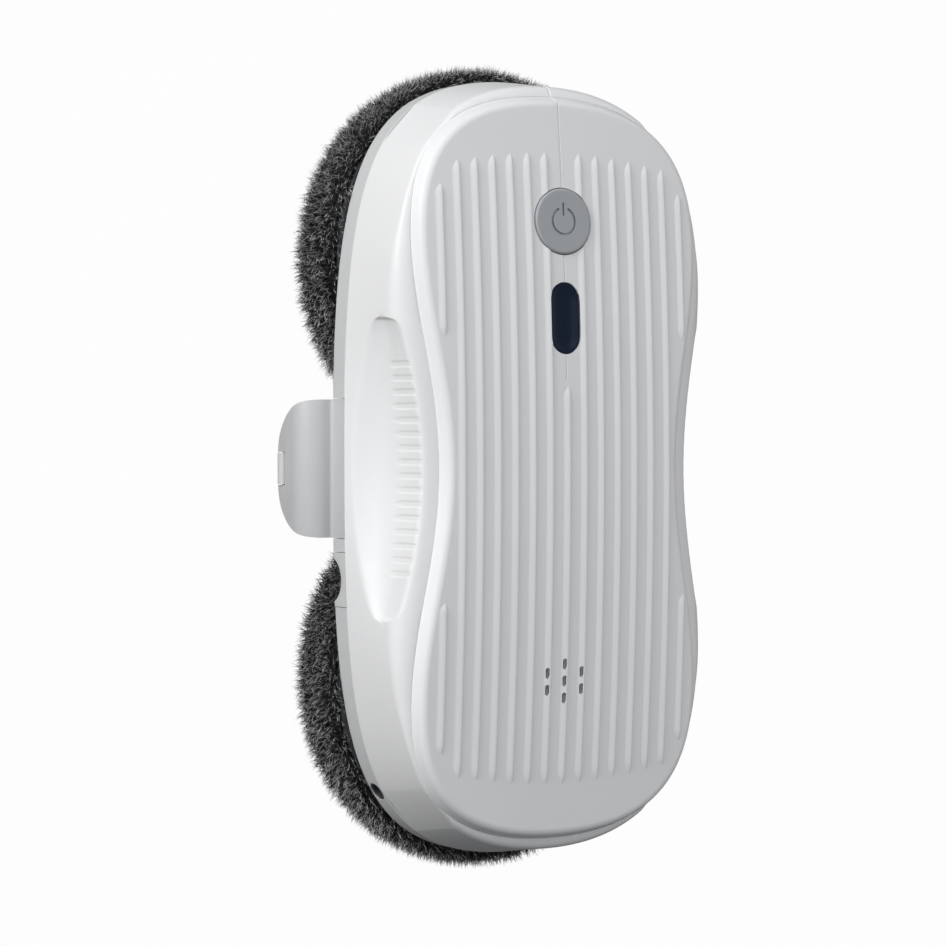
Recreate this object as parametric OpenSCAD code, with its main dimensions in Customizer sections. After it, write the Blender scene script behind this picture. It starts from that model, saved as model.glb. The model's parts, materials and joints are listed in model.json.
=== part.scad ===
// Window cleaning robot with two spinning mop discs.
// It lies on its mop pads: z = 0 is the glass, +Z points away from it,
// and Y runs along the housing, with the power button toward +Y.

/* [Housing] */
// Length of the housing
body_len = 287; // [260:1:330]
// Width of the housing
body_w = 140; // [134:1:156]
// Height of the grey band's lower edge above the glass
band_z = 28; // [27:0.1:32]
// Height of the grey band
band_h = 8.5; // [7.5:0.1:11]
// Height of the middle of the cover above the glass
crown_z = 77.2; // [76.5:0.1:84]
// Radius of the cover's crown along the housing
crown_r_long = 1400; // [1200:10:4000]
// Radius of the cover's crown across the housing
crown_r_cross = 1700; // [1200:10:4000]
// Wall of the shells
wall = 2.4; // [1.8:0.1:2.8]
// Gap where two fixed shells meet
seam_gap = 0.2; // [0.1:0.05:0.3]
// How far the tongue of the lower shell reaches into the upper one
tongue_h = 1.8; // [1:0.1:3]

/* [Waist] */
// How far the cover's edge stands in from the side at the waist
waist_margin = 19; // [16:0.5:21]
// How far the cover's edge stands in from the side at the bulges
bulge_margin = 9; // [8:0.5:12]
// How far the cover's edge stands in from the end
end_margin = 7; // [6:0.5:10]
// How far the side wall draws in at the waist
waist_pinch = 6; // [2:0.5:7]
// How far the end wall draws in at its top
end_draft = 1; // [0:0.1:2]
// Place of the bulges along the half length
bulge_share = 0.578; // [0.5:0.01:0.64]

/* [Cover] */
// Height that the cover stands above its crease
cover_rise = 4.8; // [4:0.1:6]
// Height above the glass of the ledge that carries the cover
ledge_z = 62; // [61:0.1:64]
// Width of that ledge
ledge_w = 4; // [3:0.5:6]
// Distance from rib to rib
rib_pitch = 7.4; // [7:0.1:7.8]
// Width of a rib
rib_w = 4.1; // [3:0.1:5]
// Height of a rib
rib_h = 0.8; // [0.4:0.1:1.2]
// Half length of the long ribs
rib_half_len = 114.5; // [100:0.5:118]
// Length over which a rib dies away at its end
rib_fade = 7; // [4:0.5:12]
// Where the short outer ribs start, from the middle
short_rib_from = 47; // [40:0.5:60]
// Where the short outer ribs end, from the middle
short_rib_to = 102; // [80:0.5:106]
// Width of the seam line down the middle of the cover
seam_w = 0.9; // [0.5:0.1:1.4]
// Depth of that seam line
seam_d = 0.5; // [0.3:0.1:0.8]
// Where the seam line ends and the middle rib starts
seam_end_y = 32; // [28:0.5:36]

/* [Power button] */
// Diameter of the button
button_d = 24; // [18:0.5:28]
// Place of the button along the housing
button_y = 89.7; // [84:0.1:94]
// How far the button stands above the cover
button_proud = 0.8; // [0.3:0.1:1.5]
// Travel of the button
button_travel = 1; // [0.5:0.1:1.2]
// Running gap round the button
button_gap = 0.3; // [0.25:0.01:0.4]
// Height of the button's cap
button_h = 5.4; // [5:0.1:6]

/* [Indicator and speaker] */
// Width of the indicator window
lens_w = 12.6; // [9:0.1:14]
// Length of the indicator window
lens_len = 26; // [20:0.5:30]
// Place of the window along the housing
lens_y = 54.5; // [52:0.5:57]
// Gap round the window
lens_gap = 0.12; // [0.1:0.01:0.3]
// Width of a speaker slot
slot_w = 1.7; // [1:0.1:2.4]
// Length of a speaker slot
slot_len = 4; // [2.5:0.1:5]
// Distance from slot to slot along the housing
slot_pitch = 6.2; // [5.5:0.1:7]
// Place of the speaker along the housing
speaker_y = -77.3; // [-82:0.1:-76]
// Diameter of the speaker
speaker_d = 20; // [16:0.5:21]

/* [Handle recesses] */
// Length of a handle recess
handle_len = 112; // [90:1:116]
// Depth of the recess below the drawn-in wall
handle_depth = 7.7; // [5:0.1:8.5]
// Height of the recess's lower edge above the band
handle_low = 7.5; // [5:0.5:9]
// Height of the recess's tips above the band
handle_tip = 21.7; // [18:0.1:22]
// Radius of the cove at the foot of the recess
cove_r = 11.4; // [8:0.1:12]
// Number of grip grooves
grip_count = 16; // [6:2:16]
// Distance from grip groove to grip groove
grip_pitch = 5; // [4:0.1:5.2]
// Width of a grip groove
grip_w = 2.4; // [1.5:0.1:3]
// Depth of a grip groove
grip_d = 0.5; // [0.3:0.1:0.8]

/* [Mop units] */
// Distance of a mop disc's axis from the middle
unit_y = 77.5; // [77.2:0.1:80]
// Outer diameter of a mop pad
pad_d = 148; // [140:1:150]
// Diameter of the suction opening in a pad
pad_bore = 68; // [60:1:76]
// Height of a pad
pad_h = 22.4; // [20:0.1:22.5]
// Rounding of a pad's outer edge
pad_round = 9; // [6:0.5:10]
// Gap between a pad and its hook ring
pad_gap = 0.3; // [0.2:0.05:0.5]
// Thickness of a hook ring
hook_t = 1.2; // [0.8:0.1:1.4]
// Diameter of a mop disc
disc_d = 132; // [124:1:136]
// Thickness of a mop disc
disc_t = 2.4; // [2:0.1:2.6]
// Diameter of a disc's drive shaft
shaft_d = 10; // [8:0.5:11]
// Running clearance of a shaft in its bush, on the radius
run_gap = 0.05; // [0.02:0.01:0.08]

/* [Drive] */
// Gear module
gear_module = 1; // [1:0.01:1.05]
// Teeth of a drive gear
gear_teeth = 60; // [60:12:60]
// Teeth of a pinion
pinion_teeth = 12; // [12:12:12]
// Face width of a gear
gear_face = 6; // [5:0.5:7]
// Backlash taken off each flank
backlash = 0.1; // [0.08:0.01:0.14]
// Diameter of a drive motor's gearbox
motor_d = 26; // [22:1:28]
// Height of a drive motor's gearbox
motor_h = 14; // [10:0.5:15]

/* [Suction fan] */
// Inner radius of the fan housing
fan_r = 26.6; // [24:0.1:27]
// Wall of the fan housing and of the duct
duct_wall = 1.6; // [1.2:0.1:1.8]
// Number of blades
blade_count = 9; // [5:1:12]
// Diameter of the fan motor
fan_motor_d = 28; // [24:1:28]

/* [Side guards] */
// Length of a side guard
guard_len = 50.6; // [44:0.1:52]
// How far a guard stands out from the housing
guard_out = 11.6; // [8:0.1:14]
// Height of a guard's lower tip above the glass
guard_tip_z = 8; // [6:0.5:10]
// Thickness of a guard
guard_t = 2.4; // [2:0.1:3]
// Radius of the guard's bend, outside
guard_bend = 9; // [6:0.5:11]
// Corner radius of the guard's lower end
guard_corner = 17.5; // [14:0.5:17.9]
// Length of a guard roller
roller_len = 11.6; // [9:0.1:13]
// Diameter of a guard roller
roller_d = 4.6; // [3.6:0.1:5]
// Diameter of a roller's pin
roller_pin_d = 1.2; // [1:0.05:1.4]

/* [Cord guide and inlet] */
// Place of the cord guide along the housing
cord_guide_y = -40.4; // [-42:0.1:-39]
// Length of the cord guide
cord_guide_len = 19.8; // [18:0.1:22]
// Radius of the arch in the cord guide
arch_r = 8.5; // [7:0.1:9]
// Height of the arch above the band's lower edge
arch_h = 5.4; // [4:0.1:6]
// Outer diameter of the power inlet
inlet_d = 7.2; // [6:0.1:7.4]
// Depth of the power inlet
inlet_depth = 9.5; // [8:0.5:12]

/* [Electronics] */
// Diameter of a battery cell
cell_d = 18.2; // [16:0.1:18.4]
// Length of a battery cell
cell_len = 65; // [55:1:66]
// Thickness of the circuit board
board_t = 1.6; // [1:0.1:2]
// Height of the circuit board above the chassis
board_lift = 5; // [4:0.1:6]

/* [Hidden] */

// Overrun of every cut past the face that it cuts
over = 0.5;
$fn = 96;

white = [0.93, 0.93, 0.93];
pale_grey = [0.82, 0.83, 0.83];
button_grey = [0.58, 0.60, 0.62];
navy = [0.05, 0.08, 0.14];
fur_grey = [0.18, 0.18, 0.19];
dark_plastic = [0.22, 0.23, 0.25];
metal = [0.72, 0.73, 0.75];
board_green = [0.10, 0.35, 0.22];

// Housing outlines
half_w = body_w / 2;
half_len = body_len / 2;
side_handle_share = 0.641;
end_handle_share = 0.943;
bulge_y = half_len * bulge_share;
waist_half = half_w - waist_margin;
bulge_half = half_w - bulge_margin;
crease_half_len = half_len - end_margin;
waist_handle_share = 0.386;
bulge_handle_share = 0.349;
corner_handle_share = 0.52;
crease_end_share = 0.66;
// Where the bulge falls along the curve of the plain outline
base_split_share = 0.36;
waist_steps = 7;
end_steps = 11;
shoulder_share = 0.9;

seam_z = band_z + band_h;
floor_top = band_z + wall;

function bezier(p, t) =
    pow(1 - t, 3) * p[0] + 3 * pow(1 - t, 2) * t * p[1]
    + 3 * (1 - t) * t * t * p[2] + pow(t, 3) * p[3];

// Four mirrored copies of a quarter outline, as one closed loop
function mirrored(q) =
    let (n = len(q) - 1)
    concat(
        [for (i = [0 : n - 1]) q[i]],
        [for (i = [n : -1 : 1]) [-q[i].x, q[i].y]],
        [for (i = [0 : n - 1]) [-q[i].x, -q[i].y]],
        [for (i = [n : -1 : 1]) [q[i].x, -q[i].y]]);

// Share of the plain outline's curve at step i, so that its points
// stand level with those of the waisted outline
function base_t(i) =
    i < waist_steps
    ? base_split_share * i / waist_steps
    : base_split_share + (1 - base_split_share) * (i - waist_steps) / end_steps;

steps = waist_steps + end_steps;

base_loop = mirrored([for (i = [0 : steps]) bezier([
    [half_w, 0],
    [half_w, half_len * side_handle_share],
    [half_w * end_handle_share, half_len],
    [0, half_len]], base_t(i))]);

waist_curve = [
    [waist_half, 0],
    [waist_half, bulge_y * waist_handle_share],
    [bulge_half, bulge_y * (1 - bulge_handle_share)],
    [bulge_half, bulge_y]];
end_curve = [
    [bulge_half, bulge_y],
    [bulge_half, bulge_y + (crease_half_len - bulge_y) * corner_handle_share],
    [bulge_half * crease_end_share, crease_half_len],
    [0, crease_half_len]];
crease_loop = mirrored([for (i = [0 : steps])
    i < waist_steps
    ? bezier(waist_curve, i / waist_steps)
    : bezier(end_curve, (i - waist_steps) / end_steps)]);

// How strongly the side wall is drawn in at a place along the housing
function pinch_at(y) =
    abs(y) < bulge_y ? pow(cos(90 * y / bulge_y), 2) : 0;

// The top of the side wall, where the shoulder starts to turn over
shoulder_loop = [for (p = base_loop) [
    p.x * (1 - waist_pinch / half_w * pinch_at(p.y)),
    p.y * (1 - end_draft / half_len)]];

// A closed loop moved inward by d
function inset(loop, d) =
    let (n = len(loop))
    [for (i = [0 : n - 1])
        let (v = loop[(i + 1) % n] - loop[(i + n - 1) % n])
        loop[i] - d * [v.y, -v.x] / norm(v)];

// A loop scaled about the middle
function shrunk(loop, share) = [for (p = loop) p * share];

// Height of the cover's crowned face at a place
function crown(p) =
    crown_z
    - (crown_r_long - sqrt(pow(crown_r_long, 2) - pow(p.y, 2)))
    - (crown_r_cross - sqrt(pow(crown_r_cross, 2) - pow(p.x, 2)));
function crease_z(p) = crown(p) - cover_rise;

function at_height(loop, z) = [for (p = loop) [p.x, p.y, z]];
function on_crown(loop, drop) = [for (p = loop) [p.x, p.y, crown(p) - drop]];
function on_crease(loop, rise) = [for (p = loop) [p.x, p.y, crease_z(p) + rise]];

// One ring of the shoulder, from its foot (0 degrees) to the crease (90)
function shoulder_ring(angle, t) =
    let (foot = inset(shoulder_loop, t))
    [for (i = [0 : len(foot) - 1])
        let (
            c = crease_loop[i],
            rise = shoulder_share * norm(shoulder_loop[i] - c),
            p = c + (foot[i] - c) * cos(angle))
        [p.x, p.y, crease_z(c) - rise + (rise - t) * sin(angle)]];

// Triangles between the rings of a stack of m rings with n points each
function ring_faces(n, m) = [
    for (k = [0 : m - 2]) for (i = [0 : n - 1]) for (half = [0, 1])
        let (a = k * n + i, b = k * n + (i + 1) % n)
        half == 0 ? [b + n, b, a] : [a + n, b + n, a]];

// Solid through a stack of rings of equal length, closed at both ends
module loft(rings) {
    n = len(rings[0]);
    m = len(rings);
    polyhedron([for (r = rings) for (p = r) p], concat(
        [[for (i = [0 : n - 1]) i]],
        ring_faces(n, m),
        [[for (i = [n - 1 : -1 : 0]) (m - 1) * n + i]]), convexity = 6);
}

// The same, with its last ring closed by a fan to a middle point
module crowned_loft(rings, top) {
    n = len(rings[0]);
    m = len(rings);
    polyhedron(concat([for (r = rings) for (p = r) p], [top]), concat(
        [for (i = [0 : n - 1])
            [m * n, (m - 1) * n + (i + 1) % n, (m - 1) * n + i]],
        ring_faces(n, m),
        [[for (i = [0 : n - 1]) i]]), convexity = 6);
}

module ring_2d(outer_d, inner_d) {
    difference() {
        circle(d = outer_d);
        circle(d = inner_d);
    }
}

module tube(outer_d, inner_d, h) {
    linear_extrude(h) ring_2d(outer_d, inner_d);
}

// Places the children at a mop unit's axis, turned so that the unit's
// motor lies toward the end of the housing
module at_unit(side) {
    translate([0, side * unit_y, 0]) rotate([0, 0, side > 0 ? 0 : 180]) children();
}

// Places the children at the four points with these coordinates
module at_four(x, y) {
    for (sx = [-1, 1]) for (sy = [-1, 1]) translate([sx * x, sy * y, 0]) children();
}

module mirror_side(side) {
    if (side > 0) children();
    else mirror([1, 0, 0]) children();
}

// Stack of one mop unit, from the glass upward
hook_z = pad_h + pad_gap;
disc_z = hook_z + hook_t;
boss_d = 22;
boss_h = 9.6;
boss_top = floor_top + boss_h;
bush_d = 16;
bush_flange_t = 1.5;
gear_lift = 0.3;
gear_z = boss_top + bush_flange_t + gear_lift;
clip_gap = 0.3;
clip_t = 0.8;
clip_z = gear_z + gear_face + clip_gap;
shaft_end = 0.9;
shaft_top = clip_z + clip_t + shaft_end;

// Drive
gear_r = gear_module * gear_teeth / 2;
pinion_r = gear_module * pinion_teeth / 2;
centre_distance = gear_r + pinion_r;
motor_y = unit_y + centre_distance;
motor_shaft_d = 4;
motor_lift = 1.5;
motor_z = gear_z + gear_face + motor_lift;
motor_ear_x = 17;
ear_r = 4;
ear_t = 1.6;

// Chassis plate, carried by posts of the lower shell
chassis_gap = 1;
chassis_z = shaft_top + chassis_gap;
chassis_t = 2;
chassis_top = chassis_z + chassis_t;
chassis_margin = 9;
chassis_half_w = waist_half - chassis_margin;
chassis_half_len = 104;
post_d = 7;
post_margin = 4;
post_x = chassis_half_w - post_margin;
post_near_y = 36;
post_far_y = 99;
board_z = chassis_top + board_lift;
screw_d = 3;
screw_gap = 0.05;
screw_len = 7;
screw_head_d = 5.6;
screw_head_h = 1.2;

// Screws that hold the two shells together
waist_screw_in = 4.5;
waist_screw_y = 14;
end_screw_in = 11;
end_screw_back = 40.5;
waist_screw = [waist_half - waist_screw_in, waist_screw_y];
end_screw = [bulge_half - end_screw_in, half_len - end_screw_back];
housing_screw_len = 10;
housing_post_d = 7.6;

// Suction path
hub_d = 24;
slot_inner_r = 15;
slot_outer_r = 29;
slot_count = 6;
slot_bar = 5;
duct_h = 8.6;
duct_r = 32;
duct_half_w = 16;
duct_top = floor_top + duct_h;
fan_inlet_r = 12;
fan_h = 13;
fan_top = duct_top + fan_h;
spout_len = 40;
spout_w = 15;
blade_gap = 1.6;
impeller_r = 22.5;
impeller_plate_t = 1.5;
impeller_hub_d = 8;
fan_shaft_d = 3;
fan_motor_h = 9;

// Side guard
guard_segment_t = 4;
guard_foot = 6;
guard_notch_gap = 0.3;
guard_plate_x = half_w + guard_out;
roller_x = guard_plate_x - guard_t / 2;
roller_z = guard_tip_z + roller_d / 2;
roller_pin_hold = 3;
roller_pin_len = roller_len + 2 * roller_pin_hold;

// One section of the cutter that scoops out a handle recess
cove_steps = 5;
recess_stations = 20;
halvings = 20;
function recess_share(y) = sqrt(max(0, 1 - pow(2 * y / handle_len, 2)));
function wall_x(y) =
    bezier([half_w, half_w, half_w * end_handle_share, 0], wall_t(abs(y), 0, 1, halvings))
    - waist_pinch * pinch_at(y);
// Place along the plain outline's curve that lies at y, by halving
function wall_t(y, lo, hi, left) =
    let (mid = (lo + hi) / 2,
        here = bezier([0, half_len * side_handle_share, half_len, half_len], mid))
    left == 0 ? mid : here < y ? wall_t(y, mid, hi, left - 1) : wall_t(y, lo, mid, left - 1);

function recess_section(y, grow) =
    let (
        f = recess_share(y),
        xi = wall_x(y) - handle_depth * f - grow,
        r = cove_r * f + over,
        low = seam_z + handle_tip - (handle_tip - handle_low) * f - grow,
        out = half_w + guard_out,
        high = crown_z + over)
    concat(
        [[xi, y, high]],
        [for (k = [0 : cove_steps])
            let (a = 90 * k / cove_steps)
            [xi + r * (1 - cos(a)), y, low + r * (1 - sin(a))]],
        [[out, y, low], [out, y, high]]);

// Solid that scoops out a handle recess on the +X side
module recess_cutter(grow) {
    half = handle_len / 2 - over;
    loft([for (k = [0 : recess_stations])
        let (y = half * sin(180 * k / recess_stations - 90))
        recess_section(-y, grow)]);
}

module grip_grooves() {
    for (k = [0 : grip_count - 1])
        let (
            y = (k - (grip_count - 1) / 2) * grip_pitch,
            f = recess_share(y),
            foot = seam_z + handle_tip - (handle_tip - handle_low) * f + cove_r * f)
        translate([wall_x(y) - handle_depth * f - grip_d, y, foot + grip_w / 2])
            rotate([90, 0, 90]) linear_extrude(grip_d + over) {
                circle(d = grip_w, $fn = 16);
                translate([-grip_w / 2, 0]) square([grip_w, crown_z - foot]);
            }
}

// Solid that fills the upper shell's outside, up to the crease
module upper_body() {
    crowned_loft(concat(
        [at_height(base_loop, seam_z)],
        [for (angle = [0 : 15 : 90]) shoulder_ring(angle, 0)]),
        [0, 0, crease_z([0, 0])]);
}

// The hollow under the upper shell's skin
module upper_hollow() {
    crowned_loft(concat(
        [at_height(inset(base_loop, wall), seam_z - over)],
        [for (angle = [0 : 22.5 : 90]) shoulder_ring(angle, wall)]),
        [0, 0, crease_z([0, 0]) - wall]);
}

// The collar inside the upper shell that carries the cover's edge
collar_t = 3.2;
module cover_collar() {
    translate([0, 0, ledge_z - wall]) linear_extrude(crown_z - ledge_z + wall)
        polygon(inset(crease_loop, -seam_gap - collar_t));
}

module cover_opening() {
    translate([0, 0, ledge_z]) linear_extrude(crown_z - ledge_z + over)
        polygon(inset(crease_loop, -seam_gap));
    translate([0, 0, band_z]) linear_extrude(ledge_z - band_z + over)
        polygon(inset(crease_loop, ledge_w));
}

module at_housing_screws() {
    for (p = [waist_screw, end_screw]) at_four(p.x, p.y) children();
}

module upper_shell() color(white) {
    difference() {
        upper_body();
        difference() {
            upper_hollow();
            cover_collar();
            for (side = [-1, 1]) mirror_side(side) recess_cutter(wall);
        }
        cover_opening();
        for (side = [-1, 1]) mirror_side(side) {
            recess_cutter(0);
            grip_grooves();
        }
        seam_line();
    }
    at_housing_screws() translate([0, 0, floor_top + seam_gap])
        tube(housing_post_d, screw_d + 2 * screw_gap,
            ledge_z - wall / 2 - floor_top - seam_gap, $fn = 24);
}

vent_margin = 16;
vent_x = half_w - vent_margin;
vent_len = 8;
vent_w = 2.6;
vent_pitch = 5;

// Arc-shaped slots round the hub, through a plate of thickness t
module suction_slots(t) {
    translate([0, 0, -over]) linear_extrude(t + 2 * over) difference() {
        ring_2d(2 * slot_outer_r, 2 * slot_inner_r);
        for (k = [0 : slot_count - 1])
            rotate(360 * k / slot_count)
                translate([0, -slot_bar / 2]) square([slot_outer_r + over, slot_bar]);
    }
}

// The bare lower shell, before its openings are cut
module lower_body() {
    tongue_t = wall / 2 - seam_gap;
    translate([0, 0, band_z]) linear_extrude(wall) polygon(base_loop);
    translate([0, 0, band_z]) linear_extrude(band_h) difference() {
        polygon(base_loop);
        polygon(inset(base_loop, wall));
    }
    // The tongue stands in from the wall, so a foot joins the two
    translate([0, 0, floor_top]) linear_extrude(seam_z + tongue_h - floor_top) difference() {
        polygon(inset(base_loop, wall + seam_gap));
        polygon(inset(base_loop, wall + seam_gap + tongue_t));
    }
    for (side = [-1, 1]) at_unit(side) {
        translate([0, 0, floor_top]) cylinder(h = boss_h, d = boss_d);
        for (x = [-motor_ear_x, motor_ear_x])
            translate([x, centre_distance, floor_top])
                cylinder(h = motor_z - floor_top, r = ear_r - seam_gap);
    }
    for (y = [post_near_y, post_far_y])
        at_four(post_x, y) translate([0, 0, floor_top])
            cylinder(h = chassis_z - floor_top, d = post_d);
}

module lower_shell() color(pale_grey) difference() {
    lower_body();
    hole_d = screw_d + 2 * screw_gap;
    for (side = [-1, 1]) at_unit(side) translate([0, 0, band_z]) {
        translate([0, 0, -over]) cylinder(h = wall + boss_h + 2 * over, d = bush_d);
        suction_slots(wall);
    }
    for (y = [post_near_y, post_far_y])
        at_four(post_x, y) translate([0, 0, chassis_z - screw_len])
            cylinder(h = screw_len + over, d = hole_d);
    at_housing_screws() translate([0, 0, band_z - over]) {
        cylinder(h = wall + 2 * over, d = hole_d);
        cylinder(h = screw_head_h + over, d = screw_head_d + 2 * seam_gap);
    }
    for (side = [-1, 1]) {
        mirror_side(side) guard_window();
        for (k = [-1 : 1])
            translate([side * vent_x - vent_len / 2, k * vent_pitch - vent_w / 2,
                band_z - over])
                cube([vent_len, vent_w, wall + 2 * over]);
    }
    cord_guide_window();
    arch_cut();
    inlet_place() translate([0, 0, -inlet_depth - over])
        cylinder(h = inlet_depth + 2 * over, d = inlet_d + seam_gap);
}

// The window in the band that a side guard fills, on the +X side
module guard_window() {
    w = guard_len + 2 * seam_gap;
    translate([half_w - guard_segment_t - seam_gap, -w / 2, band_z - over])
        cube([guard_segment_t + seam_gap + over, w, band_h + tongue_h + 2 * over]);
}

module cord_guide_window() {
    w = cord_guide_len + 2 * seam_gap;
    translate([-half_w - over, cord_guide_y - w / 2, band_z - over])
        cube([guard_segment_t + seam_gap + over, w, band_h + tongue_h + 2 * over]);
}

// The arch that lets a cord out, cut from below
module arch_cut() {
    translate([-half_w - over, cord_guide_y, band_z + arch_h - arch_r])
        rotate([0, 90, 0]) cylinder(h = arch_r + over, r = arch_r);
}

module cord_guide() color(pale_grey) difference() {
    intersection() {
        translate([-half_w - over, cord_guide_y - cord_guide_len / 2, band_z])
            cube([guard_segment_t + over, cord_guide_len, band_h]);
        translate([0, 0, band_z - over]) linear_extrude(band_h + 2 * over) polygon(base_loop);
    }
    arch_cut();
}

inlet_wall = 0.8;
inlet_pin_d = 2;
inlet_y = 118.4;
inlet_t = wall_t(inlet_y, 0, 1, halvings);
tangent_step = 0.01;
function base_point(t) = [
    bezier([half_w, half_w, half_w * end_handle_share, 0], t),
    bezier([0, half_len * side_handle_share, half_len, half_len], t)];

// The place of the inlet in the band, with +Z pointing out of the wall
module inlet_place() {
    p = base_point(inlet_t);
    v = base_point(inlet_t + tangent_step) - base_point(inlet_t - tangent_step);
    translate([-p.x, -p.y, band_z + band_h / 2])
        rotate([0, 0, 180 + atan2(-v.x, v.y)]) rotate([0, 90, 0]) children();
}

module dc_inlet() color(dark_plastic) inlet_place() translate([0, 0, -inlet_depth]) {
    difference() {
        cylinder(h = inlet_depth - seam_gap, d = inlet_d);
        translate([0, 0, inlet_wall])
            cylinder(h = inlet_depth, d = inlet_d - 2 * inlet_wall);
    }
    cylinder(h = inlet_depth - 2 * inlet_wall, d = inlet_pin_d);
}

// Side and rounding of the cover: how far in, and how far up
cover_edge_shares = [[0.21, 0.56], [0.28, 0.73], [0.42, 0.885], [0.58, 0.97], [0.75, 1]];
cover_edge_in = cover_rise * cover_edge_shares[4][0];
hollow_edge_share = 0.25;

module cover_body() {
    edge = inset(crease_loop, cover_edge_in);
    crowned_loft(concat(
        [at_height(crease_loop, ledge_z), on_crease(crease_loop, 0)],
        [for (s = cover_edge_shares)
            on_crease(inset(crease_loop, cover_rise * s[0]), cover_rise * s[1])],
        [for (share = [0.8, 0.6, 0.4, 0.2]) on_crown(shrunk(edge, share), 0)]),
        [0, 0, crown_z]);
}

module cover_hollow() {
    edge = inset(crease_loop, wall + cover_rise * hollow_edge_share);
    crowned_loft(concat(
        [at_height(inset(crease_loop, wall), ledge_z - over),
            on_crease(inset(crease_loop, wall), 0),
            on_crown(edge, wall)],
        [for (share = [0.8, 0.6, 0.4, 0.2]) on_crown(shrunk(edge, share), wall)]),
        [0, 0, crown_z - wall]);
}

// Section of a rib: its feet stand a little below the cover's face, and
// so does its whole height at both ends, where it dies away
rib_top_shares = [[-0.25, 0.7], [0, 1], [0.25, 0.7]];
rib_foot_share = 0.64;
rib_sink = wall / 5;
rib_end_shares = [[0, -0.25], [0.22, 0.55], [0.6, 0.9]];
rib_body_steps = 6;
rib_margin = 5;
long_ribs = floor((waist_half - rib_margin) / rib_pitch);
rib_corner_cut = 2.5;

module rib(x, from, to) {
    last = len(rib_end_shares) - 1;
    stations = concat(
        [for (e = rib_end_shares) [from + rib_fade * e[0], e[1]]],
        [for (k = [0 : rib_body_steps])
            [from + rib_fade + (to - from - 2 * rib_fade) * k / rib_body_steps, 1]],
        [for (k = [last : -1 : 0])
            [to - rib_fade * rib_end_shares[k][0], rib_end_shares[k][1]]]);
    loft([for (s = stations)
        let (w = rib_w * (1 + s[1]) / 2)
        [for (p = concat(
            [[-rib_foot_share, -rib_sink]],
            [for (q = rib_top_shares) [q[0], rib_h * s[1] * q[1]]],
            [[rib_foot_share, -rib_sink]]))
            let (px = x + w * p[0])
            [px, s[0], crown([px, s[0]]) + p[1]]]]);
}

module ribs() {
    for (k = [-long_ribs : long_ribs]) {
        half = rib_half_len - (abs(k) == long_ribs ? rib_corner_cut : 0);
        rib(k * rib_pitch, -half, k == 0 ? seam_end_y : half);
    }
    for (side = [-1, 1]) {
        rib(side * (long_ribs + 1) * rib_pitch, short_rib_from, short_rib_to);
        rib(side * (long_ribs + 1) * rib_pitch, -short_rib_to, -short_rib_from);
    }
}

module stadium_2d(w, len) {
    for (side = [-1, 1]) translate([0, side * (len - w) / 2]) circle(d = w, $fn = 48);
    square([w, len - w], center = true);
}

// Places the children on the cover's middle line, square to its face
module at_cover(y) {
    translate([0, y, crown([0, y])]) rotate([-asin(y / crown_r_long), 0, 0]) children();
}

// The line down the middle that the seam follows, as [y, z] points
seam_steps = 6;
seam_path = let (edge_y = crease_half_len - cover_edge_in) concat(
    [for (k = [0 : seam_steps])
        let (y = seam_end_y + (edge_y - seam_end_y) * k / seam_steps)
        [y, crown([0, y])]],
    [for (k = [3 : -1 : 0])
        let (y = crease_half_len - cover_rise * cover_edge_shares[k][0])
        [y, crease_z([0, y]) + cover_rise * cover_edge_shares[k][1]]],
    [for (angle = [90 : -15 : 0])
        let (p = shoulder_ring(angle, 0)[steps])
        [p.y, p.z]]);

function seam_side(d) =
    let (last = len(seam_path) - 1)
    [for (i = [0 : last])
        let (v = seam_path[min(i + 1, last)] - seam_path[max(i - 1, 0)])
        seam_path[i] + d * [-v.y, v.x] / norm(v)];

module seam_line() {
    below = seam_side(-seam_d);
    rotate([90, 0, 90]) linear_extrude(seam_w, center = true)
        polygon(concat(seam_side(over), [for (i = [len(below) - 1 : -1 : 0]) below[i]]));
}

module speaker_slots() {
    for (k = [-1 : 1])
        for (row = k == 0 ? [-1, 0, 1] : [-0.5, 0.5])
            translate([k * rib_pitch, speaker_y + row * slot_pitch, ledge_z])
                linear_extrude(crown_z - ledge_z + over) stadium_2d(slot_w, slot_len, $fn = 24);
}

module top_cover() color(white) difference() {
    union() {
        cover_body();
        ribs();
    }
    cover_hollow();
    at_cover(button_y) translate([0, 0, -2 * wall])
        cylinder(h = 3 * wall, d = button_d + 2 * button_gap, $fn = 72);
    at_cover(lens_y) translate([0, 0, -2 * wall])
        linear_extrude(3 * wall) stadium_2d(lens_w + 2 * lens_gap, lens_len + 2 * lens_gap);
    speaker_slots();
    seam_line();
}

flange_gap = 0.25;
flange_out = 1.4;
flange_t = 1;
lens_sink = 0.4;
lens_rim = 1.1;
lens_dish = 0.6;

module indicator_lens() color(navy) at_cover(lens_y) difference() {
    union() {
        foot = -wall - flange_gap - flange_t;
        translate([0, 0, foot])
            linear_extrude(flange_t)
                stadium_2d(lens_w + 2 * flange_out, lens_len + 2 * flange_out);
        translate([0, 0, foot]) linear_extrude(-lens_sink - foot) stadium_2d(lens_w, lens_len);
    }
    translate([0, 0, -lens_sink - lens_dish])
        linear_extrude(lens_dish + over)
            stadium_2d(lens_w - 2 * lens_rim, lens_len - 2 * lens_rim);
}

// The button's parts, measured down its own axis from the cover's face
switch_w = 8;
switch_h = 3.7;
switch_base = 0.5;
stop_gap = 0.1;
stem_d = 5;
plunger_d = 3.4;
stem_gap = 0.6;
button_lean = asin(button_y / crown_r_long);
button_foot = button_proud - button_h;
switch_foot = (board_z + board_t - crown([0, button_y])) * cos(button_lean)
    + switch_w / 2 * sin(button_lean) + stop_gap;
switch_top = switch_foot + switch_h;
plunger_foot = switch_foot + switch_base + button_travel + stop_gap;
stem_foot = switch_top + button_travel + stem_gap;

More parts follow.
